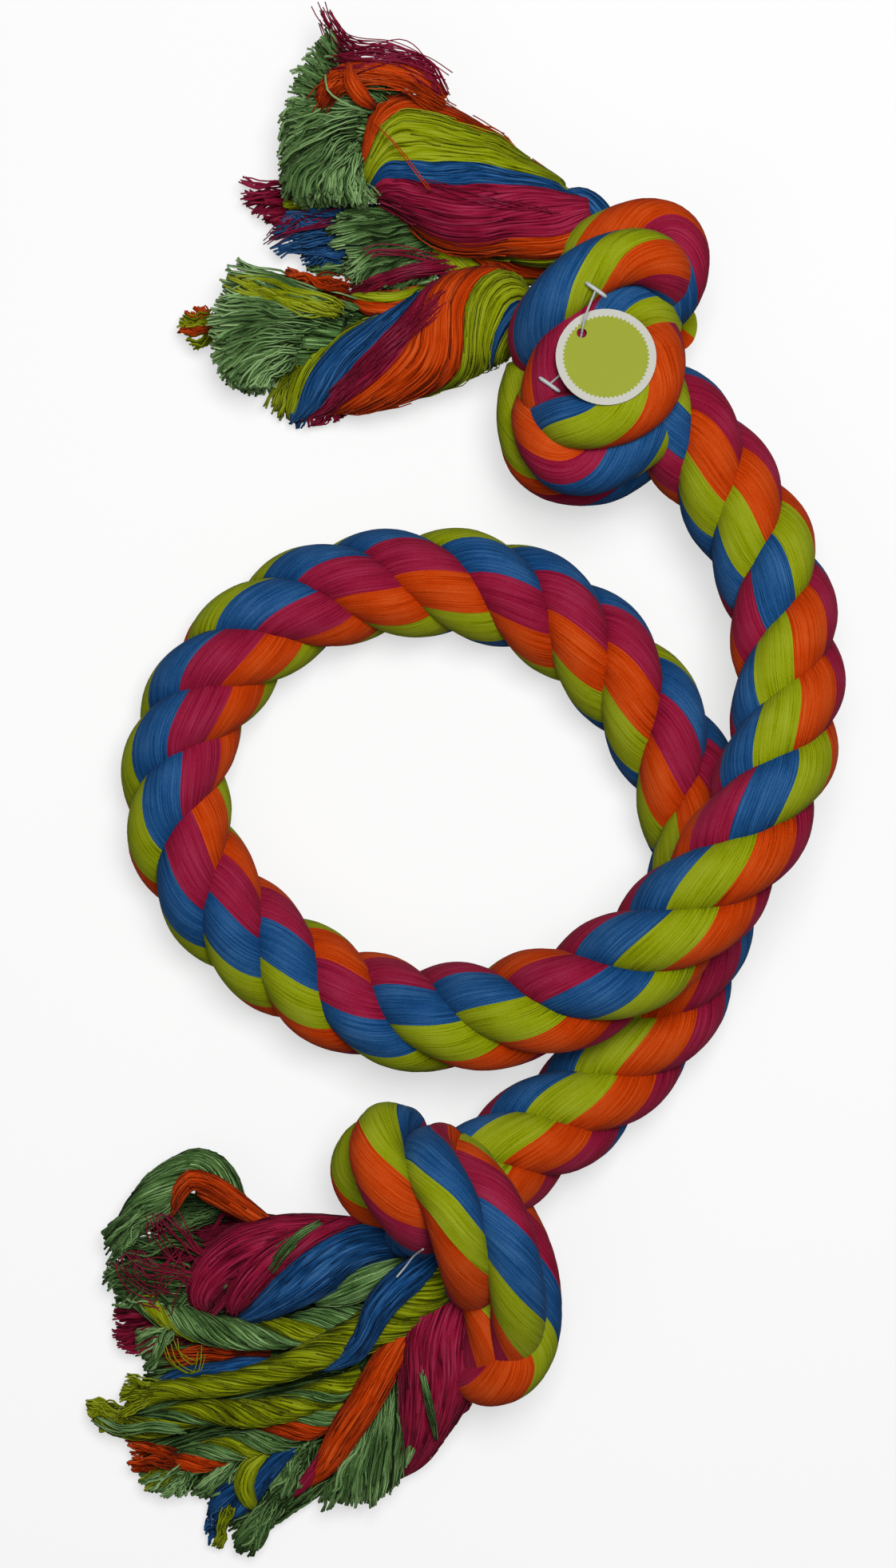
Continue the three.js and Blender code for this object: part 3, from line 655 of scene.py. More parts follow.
class ROPETOY_OT_knots(bpy.types.Operator):
    """Ties the turns of both knots, with the covers twisting along each turn"""
    bl_idname = "ropetoy.knots"
    bl_label = "Knots"

    def execute(self, context):
        sizes, materials = context.scene.rope_sizes, yarn_set(context.scene.yarn_colours)
        for place, turns in (("upper", UPPER_TURNS), ("lower", LOWER_TURNS)):
            skein = Skein()
            for k, (colours, marks, points) in enumerate(turns):
                line, along = smooth(points, STRAND_STEP)
                over = carried(line, UP if line[:, 2].max() > FRONT else -UP)
                # A turn whose covers come up quickly is twisted tighter than the rest.
                pitch = min(sizes.cover_pitch / MM, 4 / (len(marks) - 1) * (marks[-1] - marks[0]))
                if len(marks) > 4:
                    pitch = marks[4] - marks[0]
                turned = (along - marks[0]) / pitch
                edges = [(mark - marks[0]) / pitch for mark in marks[:4]]
                # Covers that never come to the top share what is left of the turn.
                rest = (1 - edges[-1]) / (5 - len(edges))
                edges += [edges[-1] + rest * n for n in range(1, 5 - len(edges))]
                skein.strand(line, along, over, sizes.turn / MM / 2, -2 * np.pi * turned, colours, edges,
                             sides=56, seed=20 + k)
            made = skein.piece(f"{place}_knot", materials, "rope_yarn",
                               [f"{place}_knot_turn_{k + 1}" for k in range(len(turns))], loose=0.0)
            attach(made, f"{place}_tail")
        return {"FINISHED"}


# Yarn of each tassel piece, in the order in which it is laid. Bundles that lie low under others and the cords
# of the lower tassel are painted darker, as painted shade.

def end_1_covers(skein):
    skein.lock(
        [(742, 275, 40, 10, 9, 60), (700, 281, 38, 17, 13, 45), (646, 263, 32, 21, 16, 17),
         (593, 242, 27, 26, 17, 0), (555, 216, 24, 25, 17, -18), (521, 196, 22, 24, 17, -29),
         (490, 186, 21, 22.5, 16, -42), (465, 182, 20, 20, 14, -100), (455, 180, 20, 16, 10, -150)],
        [(-110, ORANGE), (-66, MAGENTA), (-1, BLUE), (18, LIME), (72, ORANGE), (180, MAGENTA), (215, LIME)],
        seed=31, sides=200, strays=70)
    skein.lock(
        [(764, 292, 38, 3, 3), (748, 270, 42, 6, 5), (727, 250, 41, 5, 4), (700, 247, 40, 2.5, 2)], BLUE,
        seed=32)
    skein.wisp(
        [(540, 240, 46), (510, 196, 45), (487, 170, 43), (470, 158, 40)], ORANGE, 2, seed=33, spread=1.2)
    skein.wisp([(690, 262, 52), (600, 250, 47), (520, 226, 42)], MAGENTA, 4, seed=34, spread=3)


def end_1_core(skein):
    # A core lock that lies low under the brush, painted dark: painted shade.
    skein.lock(
        [(490, 175, 20, 15, 9), (445, 165, 17, 18, 9), (410, 155, 14, 18, 8), (385, 152, 10, 12, 5)], CORE,
        seed=40, ridge=0.4, tone=-3)
    skein.brush(
        [(500, 110, 21), (456, 148, 21), (440, 186, 21), (446, 214, 21)],
        [(410, 42), (366, 92), (350, 143), (347, 200), (356, 255), (393, 264), (440, 262), (480, 252)], CORE,
        840, seed=41, deep=(2, 34), ahead=(-7, 1), wave=2.6, tone=0.4)
    skein.brush(
        [(446, 184, 34), (448, 204, 32)], [(400, 246), (440, 262), (478, 252)], CORE, 90, seed=46,
        deep=(24, 34), ahead=(-3, 2), wave=2.4, tone=0.8)
    skein.lock(
        [(556, 124, 30, 2.5, 2), (524, 98, 33, 4, 2.6), (474, 88, 36, 4, 2.6), (440, 88, 36, 3.6, 2.4),
         (414, 107, 35, 4.2, 2.6), (399, 132, 31, 2.2, 1.5)],
        ORANGE, seed=42, strays=50, ridge=0.25)
    skein.lock(
        [(436, 80, 37, 1.5, 1.5), (440, 102, 39, 3, 2.2), (452, 120, 38, 3.2, 2.2), (468, 134, 33, 1.4, 1.2)],
        ORANGE, seed=43, strays=30, ridge=0.25)
    skein.wisp(
        [(550, 130, 34), (505, 106, 37), (455, 98, 38), (416, 112, 37), (402, 132, 33)], ORANGE, 26, seed=47,
        thick=0.6, spread=2.6)
    skein.wisp(
        [(552, 122, 32), (528, 84, 34), (486, 66, 36), (444, 64, 36), (424, 52, 32), (408, 22, 27)], MAGENTA,
        40, seed=44, thick=0.5, spread=3.4)
    skein.wisp(
        [(545, 104, 34), (500, 70, 37), (454, 74, 39), (420, 80, 38)], MAGENTA, 18, seed=48, thick=0.5,
        spread=4.5)
    skein.wisp(
        [(407, 93, 39), (411, 114, 40), (439, 132, 39), (463, 141, 38)], CORE, 1, seed=45, thick=1.0,
        spread=0.2, tone=2)


def end_2_covers(skein):
    skein.lock(
        [(664, 392, 30, 9, 8, 60), (640, 391, 29, 17, 12, 35), (600, 398, 26, 21, 15, -28),
         (540, 428, 21, 20, 15, -115), (490, 450, 18, 19, 14, -145), (445, 464, 16, 17.5, 12, -170),
         (410, 478, 13, 14.5, 10, -195), (388, 494, 10, 11, 7.5, -212), (372, 512, 7, 6.5, 4.5, -225),
         (364, 524, 4, 2, 2, -230)],
        [(-35, LIME), (45, ORANGE), (135, MAGENTA), (170, BLUE), (222, LIME), (300, BLUE)], seed=51,
        sides=200, strays=80)
    skein.brush(
        [(392, 440, 17), (376, 462, 14)], [(330, 512), (340, 524), (356, 526)], LIME, 80, seed=52,
        deep=(2, 9), thick=0.8, short=0.4, ahead=(-2, 3))
    skein.brush(
        [(398, 476, 16), (410, 488, 15)], [(362, 534), (380, 538)], BLUE, 50, seed=53, deep=(2, 9), thick=0.8,
        short=0.4)
    skein.brush(
        [(428, 486, 16), (446, 492, 14)], [(384, 536), (408, 530), (432, 524)], MAGENTA, 90, seed=54,
        deep=(2, 10), thick=0.7, short=0.5, wave=2.5)
    skein.wisp(
        [(560, 370, 36), (520, 406, 38), (470, 448, 34), (420, 492, 24)], MAGENTA, 16, seed=55, spread=2.4)


def end_2_core(skein):
    # Two core locks that lie low under the brush, painted dark: painted shade.
    skein.lock(
        [(430, 425, 15, 12, 8), (385, 418, 13, 15, 8), (335, 412, 11, 16, 7), (300, 408, 8, 10, 5)], CORE,
        seed=60, ridge=0.4, tone=-3)
    skein.lock(
        [(500, 404, 8, 6, 5), (455, 396, 8, 10, 6), (420, 396, 7, 8, 5), (395, 398, 5, 3, 3)], CORE, seed=59,
        tone=-4)
    skein.brush(
        [(447, 388, 18), (390, 412, 17), (361, 464, 14)],
        [(291, 325), (273, 357), (260, 393), (262, 443), (279, 478), (304, 490), (338, 490)], CORE, 600,
        seed=61, deep=(2, 29), ahead=(-5, 2), wave=2.6, tone=0.9)
    skein.brush(
        [(432, 384, 28), (410, 398, 28)], [(292, 338), (272, 352), (276, 366)], LIME, 42, seed=62,
        deep=(24, 31), short=0.5, tone=1.2)
    skein.brush(
        [(432, 374, 20), (430, 354, 16)], [(356, 334), (362, 346), (384, 362)], ORANGE, 120, seed=63,
        deep=(6, 22), thick=0.9, wave=2.5)
    skein.brush(
        [(268, 392, 10), (268, 425, 10)], [(226, 388), (222, 412), (244, 440)], LIME, 70, seed=64,
        deep=(3, 14), thick=0.9, short=0.5)
    skein.brush(
        [(264, 396, 10), (262, 420, 10)], [(242, 384), (219, 400), (228, 430)], ORANGE, 60, seed=65,
        deep=(3, 15), thick=0.8, short=0.5)


def end_3_covers(skein):
    skein.lock(
        [(690, 338, 20, 5, 5, 0), (645, 328, 17, 11, 9, 20), (595, 320, 15, 14, 11, 50),
         (560, 315, 14, 12, 9, 80), (540, 312, 12, 6, 5, 90)],
        [(-120, LIME), (-60, ORANGE), (0, MAGENTA), (110, BLUE)], seed=71, sides=120, strays=20)
    skein.lock(
        [(585, 328, 18, 2, 2), (548, 334, 20, 3, 2.2), (504, 344, 20, 2.6, 2), (466, 356, 18, 2.6, 1.8),
         (436, 371, 14, 0.8, 0.8)],
        MAGENTA, seed=72, strays=30)
    skein.wisp(
        [(590, 326, 21), (545, 334, 24), (500, 342, 24), (460, 356, 21), (430, 372, 15)], MAGENTA, 22,
        seed=79, thick=0.5, spread=2.2)
    skein.wisp(
        [(560, 330, 21), (510, 318, 23), (470, 316, 21), (446, 326, 17)], MAGENTA, 7, seed=80, spread=1.5)
    skein.lock(
        [(440, 372, 16, 2, 2), (462, 379, 18, 5, 4), (492, 380, 18, 5.5, 4), (525, 368, 15, 3.5, 3),
         (545, 352, 13, 1.5, 1.5)],
        [(-60, LIME), (0, ORANGE)], seed=73, strays=14)


def end_3_core(skein):
    skein.brush(
        [(545, 262, 12), (562, 285, 12)], [(430, 266), (405, 286), (410, 318)], CORE, 260, seed=74,
        deep=(2, 20), ahead=(-3, 0), wave=2.4)
    # These two brushes are painted darker: painted shade.
    skein.brush(
        [(570, 290, 12), (570, 325, 12)], [(436, 300), (428, 330), (436, 360), (472, 368), (530, 364)], CORE,
        480, seed=75, deep=(2, 20), ahead=(-5, 2), wave=2.4, tone=-1.2)
    skein.brush(
        [(460, 318, 7), (462, 338, 7)], [(376, 320), (384, 342)], CORE, 90, seed=66, deep=(2, 10), tone=-1)
    skein.brush(
        [(470, 262, 8), (462, 310, 8)], [(354, 268), (336, 288), (338, 316), (366, 326), (396, 330)], BLUE,
        280, seed=76, deep=(2, 15), thick=0.9, short=0.4, wave=3)
    skein.brush(
        [(390, 232, 9), (394, 266, 8)], [(302, 224), (298, 246), (318, 268), (344, 286)], MAGENTA, 200,
        seed=77, deep=(2, 14), thick=0.7, short=0.4, wave=2.6)
    skein.wisp([(420, 270, 14), (360, 284, 14), (340, 300, 10)], MAGENTA, 10, seed=67, spread=3)
    skein.brush(
        [(392, 250, 14), (390, 262, 13)], [(350, 250), (354, 268)], LIME, 36, seed=78, deep=(8, 16),
        thick=0.9)


def blue_lock(skein):
    skein.lock(
        [(548, 1570, 34, 3, 4), (520, 1557, 33, 6, 5), (480, 1549, 32, 8.5, 6.5), (435, 1560, 30, 10, 7.5),
         (395, 1588, 27, 11, 8), (360, 1616, 23, 8.5, 7), (326, 1640, 18, 5, 5), (298, 1653, 14, 1.2, 2)],
        BLUE, seed=81, sides=160, strays=50)
    skein.lock(
        [(528, 1572, 29, 1.5, 2), (500, 1583, 29, 4, 4), (462, 1600, 27, 7, 6), (430, 1614, 23, 6.5, 5),
         (396, 1630, 18, 1.5, 2)],
        CORE, seed=82, ridge=0.3, strays=60)
    skein.wisp(
        [(400, 1534, 31), (376, 1547, 34), (354, 1568, 33), (338, 1590, 29)], CORE, 12, seed=135, thick=0.7,
        spread=1.3)
    skein.lock(
        [(470, 1528, 33, 1, 1), (435, 1530, 35, 2.2, 1.8), (398, 1546, 35, 2.6, 1.8), (366, 1571, 32, 2, 1.4),
         (344, 1596, 28, 0.8, 0.8)],
        MAGENTA, seed=136, strays=20)


def magenta_lock(skein):
    skein.lock(
        [(500, 1543, 26, 4, 4), (450, 1541, 25, 5.5, 5), (390, 1543, 23, 7.5, 6), (338, 1551, 22, 9, 7),
         (296, 1568, 20, 9.5, 8), (266, 1594, 17, 8.5, 7), (252, 1620, 13, 6.5, 6), (257, 1642, 8, 2, 2)],
        MAGENTA, seed=83, sides=150, strays=50)
    skein.lock(
        [(440, 1536, 25, 4, 4), (390, 1548, 26, 6, 5), (350, 1566, 25, 7.5, 6), (318, 1594, 22, 7.5, 7),
         (298, 1622, 16, 6, 6), (290, 1644, 10, 2, 2)],
        MAGENTA, seed=84, sides=130, strays=40)
    skein.brush(
        [(360, 1556, 30), (350, 1566, 30)], [(272, 1618), (284, 1612)], CORE, 16, seed=85, deep=(19, 23),
        thick=0.7)
    skein.brush(
        [(300, 1590, 24), (330, 1596, 24)], [(244, 1640), (262, 1652), (284, 1648), (304, 1652)], MAGENTA, 90,
        seed=141, deep=(8, 15), thick=0.6, short=0.35)
    skein.brush(
        [(330, 1528, 16), (300, 1548, 15)], [(232, 1548), (212, 1570), (220, 1602)], MAGENTA, 130, seed=68,
        deep=(3, 16), thick=0.6, wave=2.5, tone=-2)


def green_curl(skein):
    skein.lock(
        [(300, 1508, 16, 3, 3), (286, 1484, 18, 5, 5), (266, 1464, 19, 6, 6), (245, 1459, 19, 6.5, 6.5),
         (216, 1478, 18, 7.5, 7), (190, 1504, 16, 8, 7), (168, 1528, 13, 6.5, 6), (152, 1550, 9, 3, 3)],
        CORE, seed=86, sides=120, ridge=0.3, strays=110, pitch=130, tone=-0.4)
    skein.brush(
        [(200, 1492, 17), (184, 1512, 16), (174, 1524, 14)], [(126, 1544), (140, 1566), (162, 1570)], CORE,
        150, seed=87, deep=(3, 19), tone=-0.5)
    # A low mat under the curl, painted dark: painted shade.
    skein.brush(
        [(292, 1502, 8), (278, 1520, 8)], [(205, 1498), (190, 1525), (215, 1548)], CORE, 150, seed=69,
        deep=(2, 9), tone=-3)
    skein.lock(
        [(352, 1542, 15, 2, 2), (320, 1521, 21, 3.4, 3), (290, 1500, 25, 4.2, 3.5), (262, 1482, 26, 4.2, 3.5),
         (240, 1477, 26, 4, 3.5), (226, 1490, 24, 3.5, 3), (218, 1508, 19, 2.4, 2.4),
         (212, 1524, 13, 0.8, 0.8)],
        ORANGE, seed=88, strays=30)
    skein.lock(
        [(346, 1544, 14, 2, 2), (314, 1524, 19, 2.6, 2.4), (282, 1507, 22, 3, 2.5), (256, 1495, 22, 2.5, 2),
         (246, 1493, 19, 0.8, 0.8)],
        ORANGE, seed=70, strays=14)


def frayed_end(skein):
    # Low mats under the tassel, painted dark: painted shade.
    skein.brush(
        [(310, 1550, 6), (310, 1640, 6)], [(165, 1556), (138, 1600), (150, 1640), (190, 1660)], CORE, 300,
        seed=121, deep=(1.5, 7), tone=-3)
    skein.brush(
        [(474, 1600, 6), (468, 1640, 6)], [(300, 1600), (268, 1640), (274, 1664), (330, 1664)], CORE, 220,
        seed=122, deep=(1.5, 7), tone=-3)
    skein.brush(
        [(400, 1540, 6), (390, 1570, 6)], [(214, 1508), (184, 1536), (186, 1580)], MAGENTA, 260, seed=140,
        deep=(1, 7), thick=0.9, tone=-5)
    skein.brush(
        [(262, 1600, 13), (255, 1628, 12)], [(152, 1576), (128, 1594), (138, 1618), (170, 1630)], CORE, 230,
        seed=89, deep=(4, 17), wave=3, tone=-1.6)
    skein.brush(
        [(228, 1650, 8), (228, 1672, 7)], [(144, 1636), (136, 1660), (150, 1690), (186, 1692)], MAGENTA, 190,
        seed=90, deep=(2, 11), thick=0.7, wave=2, tone=-1)
    skein.wisp(
        [(262, 1585, 20), (235, 1560, 21), (205, 1525, 21), (190, 1515, 21), (196, 1545, 20),
         (215, 1575, 19)],
        MAGENTA, 9, seed=91, spread=4)
    skein.wisp(
        [(250, 1600, 19), (215, 1590, 20), (180, 1590, 19), (165, 1575, 18), (158, 1590, 17), (175, 1610, 17),
         (210, 1622, 16)],
        MAGENTA, 10, seed=92, spread=4)
    skein.wisp(
        [(250, 1560, 18), (215, 1550, 19), (185, 1560, 18), (160, 1555, 16), (140, 1575, 12)], CORE, 14,
        seed=144, thick=0.9, spread=3, tone=-1)
    skein.wisp(
        [(225, 1570, 20), (205, 1600, 19), (195, 1620, 17), (160, 1600, 16)], MAGENTA, 9, seed=123, spread=5)
    # Another low mat, painted dark: painted shade.
    skein.brush(
        [(290, 1640, 5), (280, 1680, 5)], [(150, 1645), (145, 1672), (165, 1700)], MAGENTA, 130, seed=139,
        deep=(1, 6), thick=0.8, tone=-5)


def lime_cord(skein):
    # The plies of a cord show as bands that turn along it.
    # The cord is painted darker: painted shade.
    skein.lock(
        [(566, 1590, 37, 5, 5), (550, 1606, 37, 9, 7), (515, 1635, 33, 9.5, 7.5), (480, 1656, 30, 8.5, 7),
         (440, 1676, 26, 7.5, 6.5), (400, 1694, 22, 6.5, 6), (360, 1711, 19, 5.6, 5.5), (325, 1722, 17, 5, 5),
         (285, 1732, 15, 4.8, 4.8), (245, 1737, 13, 4.6, 4.6), (205, 1740, 12, 4.2, 4.2),
         (180, 1751, 10, 3.4, 3.4), (158, 1770, 7, 1.2, 1.2)],
        [(0, LIME), (120, LIME), (240, LIME)], seed=93, sides=130, strays=110, pitch=85, crease=1.3,
        tone=-1.2)
    skein.lock(
        [(548, 1570, 38, 3, 3), (528, 1586, 41, 6, 4), (498, 1610, 42, 6.5, 4), (474, 1638, 39, 6, 4),
         (460, 1668, 35, 5, 3.5), (446, 1690, 31, 4.5, 3), (424, 1706, 26, 2.5, 2.5),
         (404, 1715, 21, 0.8, 0.8)],
        BLUE, seed=96, strays=36)
    skein.brush(
        [(205, 1738, 11), (192, 1748, 11)], [(158, 1720), (150, 1745), (152, 1778)], LIME, 90, seed=95,
        deep=(2, 14), thick=0.7)


def green_cord(skein):
    skein.lock(
        [(470, 1640, 20, 3, 3), (440, 1648, 19, 5.5, 5), (405, 1656, 18, 6.2, 5.5), (365, 1666, 17, 6.5, 6),
         (325, 1670, 16, 6.5, 6), (285, 1668, 15, 6.2, 5.5), (245, 1660, 14, 6, 5), (212, 1646, 13, 6, 4.5),
         (182, 1628, 11, 5, 4), (155, 1610, 9, 3, 3), (138, 1598, 7, 1, 1)],
        [(0, CORE), (130, LIME), (220, CORE)], seed=97, sides=120, ridge=0.25, strays=110, pitch=62,
        crease=1.3, tone=-0.4)
    skein.brush(
        [(232, 1656, 12), (215, 1650, 12)], [(166, 1668), (172, 1700), (186, 1718)], CORE, 90, seed=98,
        deep=(3, 15), wave=2)
    # A low mat under the cords, painted dark: painted shade.
    skein.brush(
        [(470, 1655, 8), (440, 1720, 7), (420, 1770, 6)],
        [(190, 1690), (175, 1730), (150, 1770), (170, 1800), (200, 1842)], CORE, 540, seed=124, deep=(1.5, 8),
        wave=2, tone=-3)
    skein.brush(
        [(340, 1688, 9), (325, 1702, 9)], [(198, 1688), (205, 1712)], ORANGE, 100, seed=99, deep=(3, 11),
        thick=0.8, tone=-1.5)
    skein.lock(
        [(342, 1703, 13, 1, 1), (305, 1709, 13, 3.5, 3), (270, 1714, 12, 2.5, 2.5), (230, 1722, 11, 3.2, 2.8),
         (205, 1734, 9, 3, 2.5), (178, 1748, 6, 0.8, 0.8)],
        BLUE, seed=100, strays=14)
    skein.wisp(
        [(215, 1676, 15), (222, 1700, 17), (246, 1712, 16), (252, 1690, 15)], LIME, 5, seed=125, spread=3)


def twisted_cord(skein):
    # The cord is painted darker: painted shade.
    skein.lock(
        [(455, 1718, 20, 3, 3), (425, 1738, 18, 5.5, 5), (385, 1752, 17, 5.8, 5.5), (345, 1766, 16, 5.8, 5.5),
         (305, 1770, 15, 5.6, 5.2), (265, 1768, 13, 5.4, 5), (230, 1772, 12, 5.2, 4.8),
         (195, 1784, 10, 5, 4.5), (160, 1788, 9, 4.5, 4), (130, 1776, 8, 3.6, 3.4), (110, 1756, 6, 1.2, 1.2)],
        [(0, LIME), (110, LIME), (205, CORE), (265, LIME)], seed=101, sides=110, strays=100, pitch=58,
        crease=1.3, tone=-1.8)
    skein.brush(
        [(160, 1772, 9), (150, 1786, 8)], [(106, 1746), (110, 1764), (124, 1792)], LIME, 90, seed=102,
        deep=(2, 12), thick=0.8)
    skein.wisp(
        [(225, 1788, 17), (190, 1784, 17), (150, 1788, 15), (118, 1772, 11)], CORE, 12, seed=126, thick=0.8,
        spread=1.4, tone=1)


def mixed_cord(skein):
    # The cord is painted darker: painted shade.
    skein.lock(
        [(440, 1750, 14, 2.5, 2.5), (412, 1770, 15, 5.5, 5), (372, 1790, 14, 6, 5.5), (330, 1805, 13, 6, 5.5),
         (287, 1813, 12, 5.8, 5), (250, 1826, 10, 5.6, 5), (215, 1840, 8, 4.6, 4), (186, 1852, 5, 1.2, 1.2)],
        [(0, CORE), (110, ORANGE), (210, CORE), (300, LIME)], seed=103, sides=110, ridge=0.25, strays=90,
        pitch=46, crease=1.3, tone=-0.8)
    skein.brush(
        [(235, 1832, 9), (240, 1846, 8)], [(172, 1848), (182, 1868), (205, 1872), (236, 1872)], CORE, 130,
        seed=104, deep=(2, 13))
    skein.brush(
        [(222, 1822, 9), (215, 1836, 9)], [(155, 1802), (156, 1822), (168, 1846)], ORANGE, 80, seed=105,
        deep=(2, 12), thick=0.8, tone=-1)
    skein.brush(
        [(225, 1836, 11), (218, 1842, 11)], [(172, 1856), (180, 1866)], LIME, 36, seed=127, deep=(5, 12),
        thick=0.8)
    skein.brush(
        [(300, 1814, 10), (312, 1828, 9)], [(234, 1870), (256, 1878), (282, 1868)], CORE, 140, seed=137,
        deep=(2, 11))
    # A low mat under the cord, painted dark: painted shade.
    skein.brush(
        [(320, 1800, 6), (325, 1830, 5)], [(165, 1806), (170, 1846), (215, 1868), (290, 1866)], CORE, 220,
        seed=138, deep=(1, 6), tone=-4)


def blue_tips(skein):
    skein.lock(
        [(372, 1812, 14, 2, 2), (350, 1826, 14, 3.5, 3), (332, 1846, 12, 4, 3.5), (316, 1868, 10, 4, 3.5),
         (300, 1888, 8, 3, 3), (290, 1902, 5, 0.8, 0.8)],
        BLUE, seed=130, strays=30, tone=-0.4)
    skein.lock(
        [(330, 1845, 9, 2, 2), (300, 1862, 10, 4, 3.5), (278, 1880, 8, 4.5, 3.5), (262, 1898, 5, 1, 1)], BLUE,
        seed=131, strays=30, tone=-0.4)
    skein.lock(
        [(332, 1820, 15, 1.5, 1.5), (312, 1838, 16, 3.5, 3.5), (306, 1860, 15, 3.8, 3.5),
         (312, 1878, 12, 3, 3), (319, 1890, 8, 0.8, 0.8)],
        LIME, seed=132, strays=30, tone=-0.4)
    skein.brush(
        [(284, 1880, 10), (292, 1890, 10)], [(268, 1936), (282, 1944)], LIME, 50, seed=107, deep=(3, 9),
        thick=0.8)
    skein.brush(
        [(282, 1888, 8), (290, 1896, 8)], [(255, 1912), (262, 1934)], BLUE, 50, seed=143, deep=(2, 7),
        thick=0.8)
    skein.brush(
        [(372, 1808, 14), (392, 1816, 13)], [(333, 1870), (352, 1876), (372, 1872)], CORE, 150, seed=106,
        deep=(5, 14), wave=2, tone=-0.8)
    skein.brush(
        [(345, 1866, 9), (362, 1878, 9)], [(291, 1925), (296, 1946), (320, 1946), (328, 1915)], CORE, 170,
        seed=108, deep=(1.5, 12), wave=2, tone=-0.8)
    # A low mat under the tips, painted dark: painted shade.
    skein.brush(
        [(410, 1796, 7), (425, 1850, 6)], [(258, 1858), (264, 1900), (300, 1925), (350, 1898)], CORE, 260,
        seed=128, deep=(1.5, 7), tone=-3)


def magenta_sheet(skein):
    skein.lock(
        [(586, 1606, 32, 5, 4, 0), (568, 1632, 33, 13, 8, 0), (556, 1672, 31, 16.5, 10, 0),
         (548, 1722, 26, 15.5, 10, -8), (532, 1780, 18, 11, 8, -18), (514, 1824, 11, 6, 5, -25),
         (498, 1848, 6, 1.5, 1.5, -25)],
        MAGENTA, seed=109, sides=200, strays=60)
    skein.wisp(
        [(527, 1712, 36), (533, 1738, 36), (540, 1768, 33), (546, 1800, 26)], CORE, 14, seed=110, thick=0.7,
        spread=1.3)
    skein.brush(
        [(596, 1700, 22), (608, 1716, 20)], [(556, 1790), (580, 1770), (596, 1758)], MAGENTA, 80, seed=111,
        deep=(6, 18), thick=0.6, tone=-1)


def orange_lock(skein):
    skein.lock(
        [(520, 1648, 29, 3, 4), (508, 1668, 30, 4.5, 4.5), (486, 1704, 28, 6, 5), (461, 1748, 24, 6.6, 6),
         (432, 1792, 19, 6.5, 5.5), (408, 1832, 14, 5, 4.5), (372, 1866, 8, 1.2, 1.2)],
        [(-125, MAGENTA), (-85, ORANGE)], seed=112, sides=120, strays=40, tone=-0.4)
    skein.lock(
        [(404, 1818, 17, 1, 1), (388, 1846, 14, 2.5, 2), (372, 1866, 10, 2, 1.5), (360, 1876, 6, 0.6, 0.6)],
        MAGENTA, seed=113, strays=10)


def green_fringe(skein):
    skein.brush(
        [(525, 1690, 17), (500, 1715, 17), (475, 1755, 15), (450, 1800, 13)],
        [(512, 1842), (488, 1872), (452, 1888), (425, 1880), (395, 1890)], CORE, 560, seed=114,
        deep=(1.5, 20), short=0.3, wave=2.2)
    # A low mat and a core lock under the fringe, painted dark: painted shade.
    skein.brush(
        [(525, 1700, 7), (490, 1735, 7), (450, 1800, 6)], [(500, 1840), (450, 1872), (395, 1876)], CORE, 160,
        seed=129, deep=(1, 6), tone=-3)
    skein.lock(
        [(540, 1645, 8, 4, 4), (495, 1680, 9, 9, 6), (462, 1712, 8, 9, 5), (440, 1760, 6, 6, 4)], CORE,
        seed=142, tone=-4)


# Each piece's slot, the solid that it stands for and its strand end.
UPPER_PIECES = [
    (end_1_covers, "lime_yarn", "upper_cover_1", "upper_end_1"),
    (end_1_core, "core_yarn", "upper_brush_1", "upper_end_1"),
    (end_2_covers, "orange_yarn", "upper_cover_2", "upper_end_2"),
    (end_2_core, "core_yarn", "upper_brush_2", "upper_end_2"),
    (end_3_covers, "magenta_yarn", "upper_cover_3", "upper_end_3"),
    (end_3_core, "core_yarn", "upper_brush_3", "upper_end_3"),
]
LOWER_PIECES = [
    (blue_lock, "blue_yarn", "lower_blue_lock", "lower_end_1"),
    (magenta_lock, "magenta_yarn", "lower_magenta_lock", "lower_end_1"),
    (green_curl, "core_yarn", "lower_green_curl", "lower_end_1"),
    (frayed_end, "core_yarn", "lower_frayed_end", "lower_end_1"),
    (lime_cord, "lime_yarn", "lower_lime_cord", "lower_end_2"),
    (green_cord, "core_yarn", "lower_green_cord", "lower_end_2"),
    (twisted_cord, "lime_yarn", "lower_twisted_cord", "lower_end_2"),
    (mixed_cord, "orange_yarn", "lower_mixed_cord", "lower_end_2"),
    (blue_tips, "blue_yarn", "lower_blue_tips", "lower_end_2"),
    (magenta_sheet, "magenta_yarn", "lower_magenta_sheet", "lower_end_3"),
    (orange_lock, "orange_yarn", "lower_orange_lock", "lower_end_3"),
    (green_fringe, "core_yarn", "lower_green_fringe", "lower_end_3"),
]


def comb_out(pieces, materials):
    """Lays each piece of a tassel, with its roots in the knot."""
    for lay, slot, solid, end in pieces:
        (x, y, z), (dx, dy), loose = ENDS[end]
        skein = Skein()
        lay(skein)
        made = skein.piece(lay.__name__, materials, slot, [solid], loose)
        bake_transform(made)


class ROPETOY_OT_upper_tassel(bpy.types.Operator):
    """Combs out the three bundles of the upper tassel"""
    bl_idname = "ropetoy.upper_tassel"
    bl_label = "Upper tassel"

    def execute(self, context):
        comb_out(UPPER_PIECES, yarn_set(context.scene.yarn_colours))
        return {"FINISHED"}


class ROPETOY_OT_lower_tassel(bpy.types.Operator):
    """Combs out the loose covers and twisted core cords of the lower tassel"""
    bl_idname = "ropetoy.lower_tassel"
    bl_label = "Lower tassel"

    def execute(self, context):
        comb_out(LOWER_PIECES, yarn_set(context.scene.yarn_colours))
        return {"FINISHED"}


